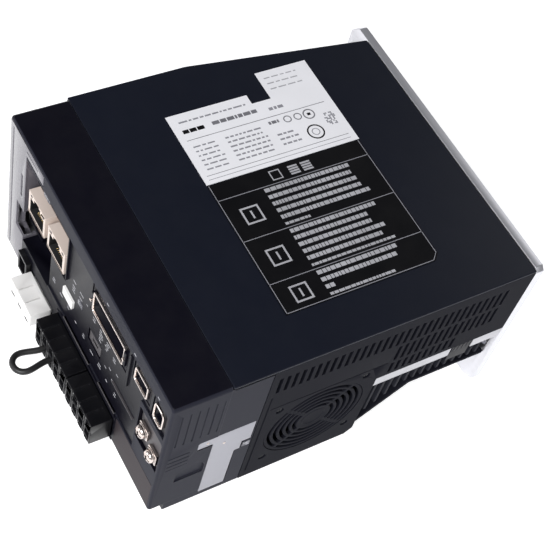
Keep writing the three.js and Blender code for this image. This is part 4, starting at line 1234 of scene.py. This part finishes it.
class DRIVE_OT_signal_sockets(bpy.types.Operator):
    """Metal-shelled signal sockets and the three small ones"""

    bl_idname = "drive.signal_sockets"
    bl_label = "Signal sockets"

    def execute(self, context):
        for name, count, pitch in (("io", 20, 1.27), ("scale", 5, 1.27), ("encoder", 3, 1.4)):
            self.socket(name, count, pitch)
        self.shell("io", 0.75)
        self.shell("scale", 0.75)
        self.shell("encoder", 0.8)
        self.serial_port()
        self.pin_header("safety_socket", "safety_port", "White plastic", "white_plastic", 4, 1)
        self.pin_header("relay_socket", "relay_port", "Glossy black plastic", "black_plastic", 2, 3)
        return {"FINISHED"}

    def socket(self, name, count, pitch):
        """A body with two rows of contacts; the long one has latch towers at its ends."""
        node = f"{name}_socket"
        low, high = span(node)
        x, z = (low.x + high.x) / 2, (low.z + high.z) / 2
        body = Form().node(node)
        along = "x" if (high.x - low.x) > (high.z - low.z) else "z"
        for row in (-1.15, 1.15):
            for index in range(count):
                shift = (index - (count - 1) / 2) * pitch
                if along == "x":
                    body.box(x + shift - 0.2, x + shift + 0.2, low.y + 2.2, high.y - 3, z + row - 0.14,
                             z + row + 0.14, finish=1, edge=0)
                else:
                    body.box(x + row - 0.14, x + row + 0.14, low.y + 2.2, high.y - 3, z + shift - 0.2,
                             z + shift + 0.2, finish=1, edge=0)
        if name != "io":
            half = (count - 1) / 2 * pitch + 0.9
            wide, tall = (half, 0.9) if along == "x" else (0.9, half)
            body.box(x - wide, x + wide, low.y + 1.6, high.y - 3, z - tall, z + tall, edge=0.2)
        else:
            for side in (-1, 1):
                centre = x + side * ((high.x - low.x) / 2 - 1.2)
                body.box(centre - 0.9, centre + 0.9, low.y - 1.3, low.y + 0.5, z - 4.6, z + 4.6, edge=0.35)
                body.rod("y", (centre, low.y - 1.5, z), 0.75, 1.0, sides=16, finish=2)
        body.piece(f"{name}_port", "chassis", ["Black plastic", "Contact gold", "Bright nickel"], [node],
                   "black_plastic")

    def shell(self, name, thick):
        """A drawn shell with a rounded lip round the socket's mouth."""
        node = f"{name}_shell"
        low, high = span(node)
        corner = 2.2 if name == "encoder" else 1.3
        outer = self.rounded(low.x, high.x, low.z, high.z, corner)
        inner = self.rounded(low.x + thick, high.x - thick, low.z + thick, high.z - thick, corner - 0.5)
        shell = Form()
        ring = bmesh.new()
        count = len(outer)
        layers = []
        for points, y in ((outer, high.y), (outer, low.y + 0.25), (self.grow(outer, inner, 0.3), low.y),
                          (self.grow(outer, inner, 0.7), low.y), (inner, low.y + 0.3), (inner, high.y)):
            layers.append([ring.verts.new((a, y, b)) for a, b in points])
        layers.append(layers[0])
        for first, second in zip(layers, layers[1:]):
            for i in range(count):
                j = (i + 1) % count
                ring.faces.new((first[i], first[j], second[j], second[i]))
        shell.take(ring)
        shell.piece(f"{name}_ring", "chassis", ["Bright nickel"], [node], "nickel")

    def grow(self, outer, inner, part):
        """An outline part of the way from one outline to another."""
        return [(a + (c - a) * part, b + (d - b) * part) for (a, b), (c, d) in zip(outer, inner)]

    def rounded(self, x0, x1, z0, z1, radius, steps=6):
        """A rectangle's outline with round corners."""
        points = []
        for cx, cz, start in ((x1 - radius, z1 - radius, 0), (x0 + radius, z1 - radius, 1),
                              (x0 + radius, z0 + radius, 2), (x1 - radius, z0 + radius, 3)):
            for step in range(steps + 1):
                angle = (start + step / steps) * math.pi / 2
                points.append((cx + radius * math.cos(angle), cz + radius * math.sin(angle)))
        return points

    def serial_port(self):
        """A small slot with a plated rim and a flat tongue."""
        low, high = span("serial_port")
        port = Form().node("serial_port")
        x, z = (low.x + high.x) / 2, (low.z + high.z) / 2
        # Painted shade: all faces but the front rim keep the shade black, so the slot's walls stand dark as
        # in shade; the flat tongue shares that black as its own colour.
        port.paint(lambda c, n: n.y < -0.5 and c.y < low.y + 0.3, 1)
        port.box(x - 2.6, x + 2.6, low.y + 1.6, high.y - 2, z - 0.45, z + 0.45, edge=0.1)
        port.piece("service_port", "chassis", ["Painted shade black", "Dull plating"], ["serial_port"], "nickel",
                   edge=0.0002)

    def pin_header(self, node, name, plastic, slot, columns, rows):
        """A moulded socket with a grid of square pins and a key rib."""
        low, high = span(node)
        x, z = (low.x + high.x) / 2, (low.z + high.z) / 2
        body = Form().node(node)
        step_x = (high.x - low.x - 4.4) / columns
        step_z = (high.z - low.z - 4.0) / rows
        for column in range(columns):
            for row in range(rows):
                cx = x + (column - (columns - 1) / 2) * step_x
                cz = z + (row - (rows - 1) / 2) * step_z
                body.box(cx - 0.3, cx + 0.3, low.y + 2.4, high.y - 3, cz - 0.3, cz + 0.3, finish=1,
                         edge=0.1)
        body.box(low.x + 2.5, low.x + 4.2, low.y + 0.1, low.y + 3, high.z - 1.7, high.z - 0.2, edge=0.2)
        body.piece(name, "chassis", [plastic, "Contact gold"], [node], slot, edge=0.0002)


class DRIVE_OT_power_plugs(bpy.types.Operator):
    """Plug-in control, mains and motor connectors with their headers"""

    bl_idname = "drive.power_plugs"
    bl_label = "Power plugs"

    def execute(self, context):
        sizes = context.scene.drive_sizes
        for name in ("control", "mains", "motor"):
            header = f"{name}_header"
            Form().node(header).piece(f"{name}_trough", "chassis", ["Black plastic"], [header],
                                      "black_plastic", edge=sizes.moulded_edge)
        self.plug("control", 3, "White plastic", "white_plastic", sizes.moulded_edge)
        self.plug("mains", 5, "Glossy black plastic", "black_plastic", sizes.moulded_edge)
        self.plug("motor", 4, "Glossy black plastic", "black_plastic", sizes.moulded_edge)
        return {"FINISHED"}

    def plug(self, name, poles, plastic, slot, edge):
        """A plug parted into poles, with ledges at the wire entries and pole tongues."""
        node = f"{name}_plug"
        low, high = span(node)
        body = Form().node(node)
        front = low.y
        deep = span(f"{name}_header")[0].y - 2.8 - front
        pitch = (high.x - low.x) / poles
        tool = Form()
        for pole in range(1, poles):
            x = low.x + pitch * pole
            tool.box(x - 0.22, x + 0.22, front - 1, front + 0.7, low.z - 1, high.z + 1, edge=0)
            tool.box(x - 0.2, x + 0.2, front - 1, front + deep * 0.8, high.z - 0.25, high.z + 1, edge=0)
        two_rows = high.z - low.z > 12
        if two_rows:
            tool.box(low.x - 1, high.x + 1, front - 1, front + 0.45, low.z + 8.1, low.z + 8.5, edge=0)
        body.cut(tool)
        for pole in range(poles):
            x = low.x + pitch * (pole + 0.5)
            wide = pitch * 0.27
            body.box(x - wide, x + wide, front - 0.3, front + 1.2, low.z + 0.5, low.z + 1.5, edge=0.25)
            # Painted shade: a black patch set inside each wire entry stands in for the shade in the hole.
            body.box(x - 1.5, x + 1.5, front + 4.4, front + 5.2, low.z + 2.8, low.z + 5.8, finish=2,
                     edge=0.2)
            if two_rows:
                body.box(x - wide, x + wide, front - 0.35, front + 1.4, high.z - 1.5, high.z - 0.4,
                         edge=0.25)
                # Painted shade: a black patch in each upper wire entry stands in for the shade there.
                body.box(x - 1.2, x + 1.2, front + 1.2, front + 2.2, low.z + 10, low.z + 12.4, finish=2,
                         edge=0.2)
        body.piece(f"{name}_connector", node, [plastic, "Bright nickel", "Painted shade black"], [node], slot,
                   edge=edge)


# ------------------------------------------------------------------ inside
class DRIVE_OT_inside(bpy.types.Operator):
    """Boards, capacitors, power module and posts, seen through the slots"""

    bl_idname = "drive.inside"
    bl_label = "Inside"

    def execute(self, context):
        finishes = {
            "control_board": "Circuit board", "power_board": "Circuit board", "power_module": "Black epoxy",
            "inrush_relay": "Black epoxy", "gate_transformer": "Black epoxy",
            "insulating_sheet": "Insulating film",
        }
        for index in range(1, 5):
            finishes[f"board_post_{index}"] = "Bright nickel"
        for node, name in finishes.items():
            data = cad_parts[node].data
            data.materials.clear()
            data.materials.append(bpy.data.materials[name])
        for index in range(1, 5):
            self.capacitor(index)
        return {"FINISHED"}

    def capacitor(self, index):
        """A sleeved can with a rolled groove and a scored metal end."""
        node = f"capacitor_{index}"
        low, high = span(node)
        x, y = (low.x + high.x) / 2, (low.y + high.y) / 2
        radius = (high.x - low.x) / 2
        can = Form()
        can.lathe("z", (x, y, 0), [(0, low.z), (radius - 0.8, low.z), (radius - 0.1, low.z + 0.8),
                                   (radius - 0.1, low.z + 2.2), (radius - 0.9, low.z + 3.0),
                                   (radius - 0.1, low.z + 3.8), (radius - 0.1, high.z - 0.7),
                                   (radius - 0.8, high.z - 0.1), (radius - 1.6, high.z - 0.1)], sides=40)
        can.lathe("z", (x, y, 0), [(radius - 1.6, high.z - 0.1), (radius - 1.8, high.z - 0.4),
                                   (0, high.z - 0.4)], sides=40, finish=1)
        for angle in (0, math.tau / 3, 2 * math.tau / 3):
            score = Form().box(0.6, radius * 0.7, -0.2, 0.2, high.z - 0.42, high.z - 0.34, edge=0)
            can.add(score, Matrix.Translation((x, y, 0)) @ Matrix.Rotation(angle, 4, "Z"))
        can.piece(f"smoothing_can_{index}", "chassis", ["Capacitor sleeve", "Plate aluminium"], [node],
                  "can_sleeve")


# ------------------------------------------------------------------ labels
LINE_PITCH = 3.55
# How far each line of dashes runs across the dark label, for its three rows.
LINE_REACHES = ((62, 61, 62, 62, 64, 33), (62, 57, 56, 61, 57, 62), (60, 57, 26, 52))
CORNER_CUT = 3.2


def rows(start, end, pitch):
    """Evenly spaced places from start to end."""
    count = int((end - start) / pitch + 1e-6)
    return [start + index * pitch for index in range(count + 1)]


class DRIVE_OT_labels(bpy.types.Operator):
    """Nameplate and dark panel, with plain bars and blocks for print"""

    bl_idname = "drive.labels"
    bl_label = "Labels"

    def execute(self, context):
        top = span("nameplate")[1].z
        self.levels = (top - 0.01, top + context.scene.drive_sizes.print_height / MM)
        Form().node("nameplate").piece("nameplate_film", "chassis", ["Label film"], ["nameplate"],
                                       "label_white")
        Form().node("notes_label").piece("dark_film", "chassis", ["Dark film"], ["notes_label"],
                                         "label_dark")
        self.nameplate_print()
        self.panel_print()
        return {"FINISHED"}

    def bar(self, form, x0, x1, y0, y1, finish=0):
        """A flat patch of ink."""
        form.box(x0, x1, y0, y1, *self.levels, finish=finish, edge=0)

    def words(self, form, chance, x, y0, y1, tall, finish=0, longest=4.0, gap=0.55):
        """A line of plain dashes, like set text seen from far off."""
        y = y0
        while y < y1 - 0.8:
            size = min(0.9 + chance.random() * longest, y1 - y)
            self.bar(form, x - tall / 2, x + tall / 2, y, y + size, finish)
            y += size + gap

    def ring(self, form, x, y, outer, inner, finish=0):
        """A flat ring of ink."""
        low, high = self.levels
        form.lathe("z", (x, y, 0), [(outer, low), (outer, high), (inner, high), (inner, low)], sides=36,
                   finish=finish, closed=True)

    def nameplate_print(self):
        """Dashes, rings and a block of small squares on the pale plate."""
        low, high = span("nameplate")
        chance = random.Random(5)
        form = Form()
        # title line, then the rule below it
        self.words(form, chance, low.x + 19.8, low.y + 3.5, low.y + 13.5, 2.0, 1, 3.0, 0.45)
        self.words(form, chance, low.x + 19.4, low.y + 17.5, low.y + 40, 1.9, 0, 2.6, 0.5)
        self.words(form, chance, low.x + 14.6, low.y + 4, low.y + 36, 0.8, 2, 3.5, 0.7)
        self.bar(form, low.x + 24.4, low.x + 24.7, low.y + 3, high.y - 4, 0)
        # small marks in the right half
        self.words(form, chance, low.x + 27.6, low.y + 40.5, low.y + 45.5, 1.6, 0, 1.6, 0.4)
        self.ring(form, low.x + 28.0, low.y + 49.6, 1.9, 1.4)
        self.ring(form, low.x + 28.2, low.y + 54.6, 1.9, 1.4)
        self.ring(form, low.x + 28.6, low.y + 60.0, 2.8, 2.2)
        self.bar(form, low.x + 27.9, low.x + 29.3, low.y + 59.2, low.y + 60.8, 1)
        self.ring(form, low.x + 38.4, low.y + 58.0, 4.0, 3.3, 1)
        self.ring(form, low.x + 38.4, low.y + 58.0, 1.9, 1.5, 2)
        # block code: a grid of small squares
        for row in range(9):
            for column in range(7):
                if chance.random() < 0.52:
                    x = low.x + 30.4 + row * 0.78
                    y = low.y + 65.4 + column * 0.78
                    self.bar(form, x, x + 0.7, y, y + 0.7, 2)
        # faint columns of data
        for x in rows(low.x + 28.5, low.x + 41, 2.5):
            self.words(form, chance, x, low.y + 4, low.y + 15, 0.7, 2, 2.6, 0.8)
            self.words(form, chance, x, low.y + 19, low.y + 34 + chance.random() * 4, 0.8, 2, 2.4, 0.7)
        for x in (low.x + 34.6, low.x + 37.2, low.x + 40):
            self.words(form, chance, x, low.y + 41, low.y + 50, 0.9, 2, 2.0, 0.6)
        # upper tab of the plate
        for x in (low.x + 4.0, low.x + 7.2, low.x + 10.4):
            self.words(form, chance, x, low.y + 51, high.y - 7, 0.6, 3, 3.0, 1.0)
        self.words(form, chance, low.x + 20.5, low.y + 44.5, low.y + 52, 1.6, 2, 2.0, 0.6)
        # closing rules along the lower edge
        self.bar(form, high.x - 4.3, high.x - 4.05, low.y + 2.2, high.y - 3, 0)
        self.bar(form, high.x - 2.2, high.x - 1.95, low.y + 2.2, high.y - 3, 2)
        form.piece("nameplate_print", "chassis", ["Grey ink", "Dark film", "Pale ink", "White ink"],
                   slot="label_white")

    def panel_print(self):
        """A frame, a heading and three rows of a square beside lines of dashes, on the dark label."""
        low, high = span("notes_label")
        chance = random.Random(23)
        form = Form()
        line = 0.32
        inset = 0.35
        left, right = low.y + inset, high.y - inset
        top, bottom = low.x + 0.2, high.x - inset
        self.bar(form, top, bottom, left, left + line)
        self.bar(form, top, bottom - CORNER_CUT, right - line, right)
        self.bar(form, bottom - line, bottom, left, right - CORNER_CUT)
        corner = [(bottom - CORNER_CUT, right - line), (bottom - CORNER_CUT, right),
                  (bottom, right - CORNER_CUT), (bottom - line, right - CORNER_CUT - 0.1)]
        form.prism("z", corner, *self.levels, edge=0)
        blocks = (low.x + 8.3, low.x + 30.0, low.x + 51.8)
        for x in blocks:
            self.bar(form, x, x + line, left, right)
        # heading: one outlined square and two striped blocks
        heading = low.x + 4.4
        self.square(form, heading, low.y + 29.8, 2.5, 0.5)
        for y in (low.y + 36.2, low.y + 42.4):
            for stripe in range(4):
                x = heading - 2.2 + stripe * 1.25
                self.bar(form, x, x + 0.85, y, y + 4.6, 1)
        for start, stop, half, reaches in zip(blocks, (*blocks[1:], bottom), (4.2, 4.2, 4.0), LINE_REACHES):
            middle = (start + min(stop, start + 21)) / 2 + 0.4
            self.square(form, middle, low.y + 10.8, half, 0.8)
            self.bar(form, middle - 2.0, middle + 2.0, low.y + 10.4, low.y + 11.2, 1)
            for index, reach in enumerate(reaches):
                x = start + 2.1 + index * LINE_PITCH
                if x > bottom - 1.2:
                    break
                tall = 1.9 if index < len(reaches) - 1 else 1.2
                self.words(form, chance, x, low.y + 21.2, low.y + reach, tall, 1, 1.7, 0.3)
        form.piece("panel_print", "chassis", ["Pale ink", "White ink"], slot="label_dark")

    def square(self, form, x, y, half, thick):
        """An outlined square with plain corners."""
        self.bar(form, x - half, x + half, y - half, y - half + thick, 1)
        self.bar(form, x - half, x + half, y + half - thick, y + half, 1)
        self.bar(form, x - half, x - half + thick, y - half + thick, y + half - thick, 1)
        self.bar(form, x + half - thick, x + half, y - half + thick, y + half - thick, 1)


# ------------------------------------------------------------------ panel and order
class DRIVE_OT_finishes(bpy.types.Operator):
    """Builds the shared effects and every finish"""

    bl_idname = "drive.finishes"
    bl_label = "Finishes"

    def execute(self, context):
        make_finishes(context.scene.drive_colours)
        return {"FINISHED"}


OPERATORS = (
    DRIVE_OT_stage,
    DRIVE_OT_finishes,
    DRIVE_OT_jumper,
    DRIVE_OT_front_shell,
    DRIVE_OT_side_cover,
    DRIVE_OT_panels,
    DRIVE_OT_metal,
    DRIVE_OT_fan,
    DRIVE_OT_operation_cover,
    DRIVE_OT_display,
    DRIVE_OT_network_jacks,
    DRIVE_OT_signal_sockets,
    DRIVE_OT_power_plugs,
    DRIVE_OT_inside,
    DRIVE_OT_labels,
)


class DRIVE_PT_parts(bpy.types.Panel):
    """Lists the drive's sizes, colours and operators"""

    bl_idname = "DRIVE_PT_parts"
    bl_label = "Servo drive"
    bl_space_type = "VIEW_3D"
    bl_region_type = "UI"
    bl_category = "Drive"

    def draw(self, context):
        for group in (context.scene.drive_sizes, context.scene.drive_colours):
            box = self.layout.box()
            for name in group.__annotations__:
                box.prop(group, name)
        for operator in OPERATORS:
            self.layout.operator(operator.bl_idname)


CLASSES = (DriveSizes, DriveColours, *OPERATORS, DRIVE_PT_parts)


def register():
    """Adds the classes and the two groups of settings."""
    for item in CLASSES:
        bpy.utils.register_class(item)
    bpy.types.Scene.drive_sizes = PointerProperty(type=DriveSizes)
    bpy.types.Scene.drive_colours = PointerProperty(type=DriveColours)


def unregister():
    """Takes them away again."""
    del bpy.types.Scene.drive_colours
    del bpy.types.Scene.drive_sizes
    for item in reversed(CLASSES):
        bpy.utils.unregister_class(item)


def main():
    """Builds the drive, one operator after another."""
    register()
    for operator in OPERATORS:
        group, name = operator.bl_idname.split(".")
        getattr(getattr(bpy.ops, group), name)()


if __name__ == "__main__":
    main()
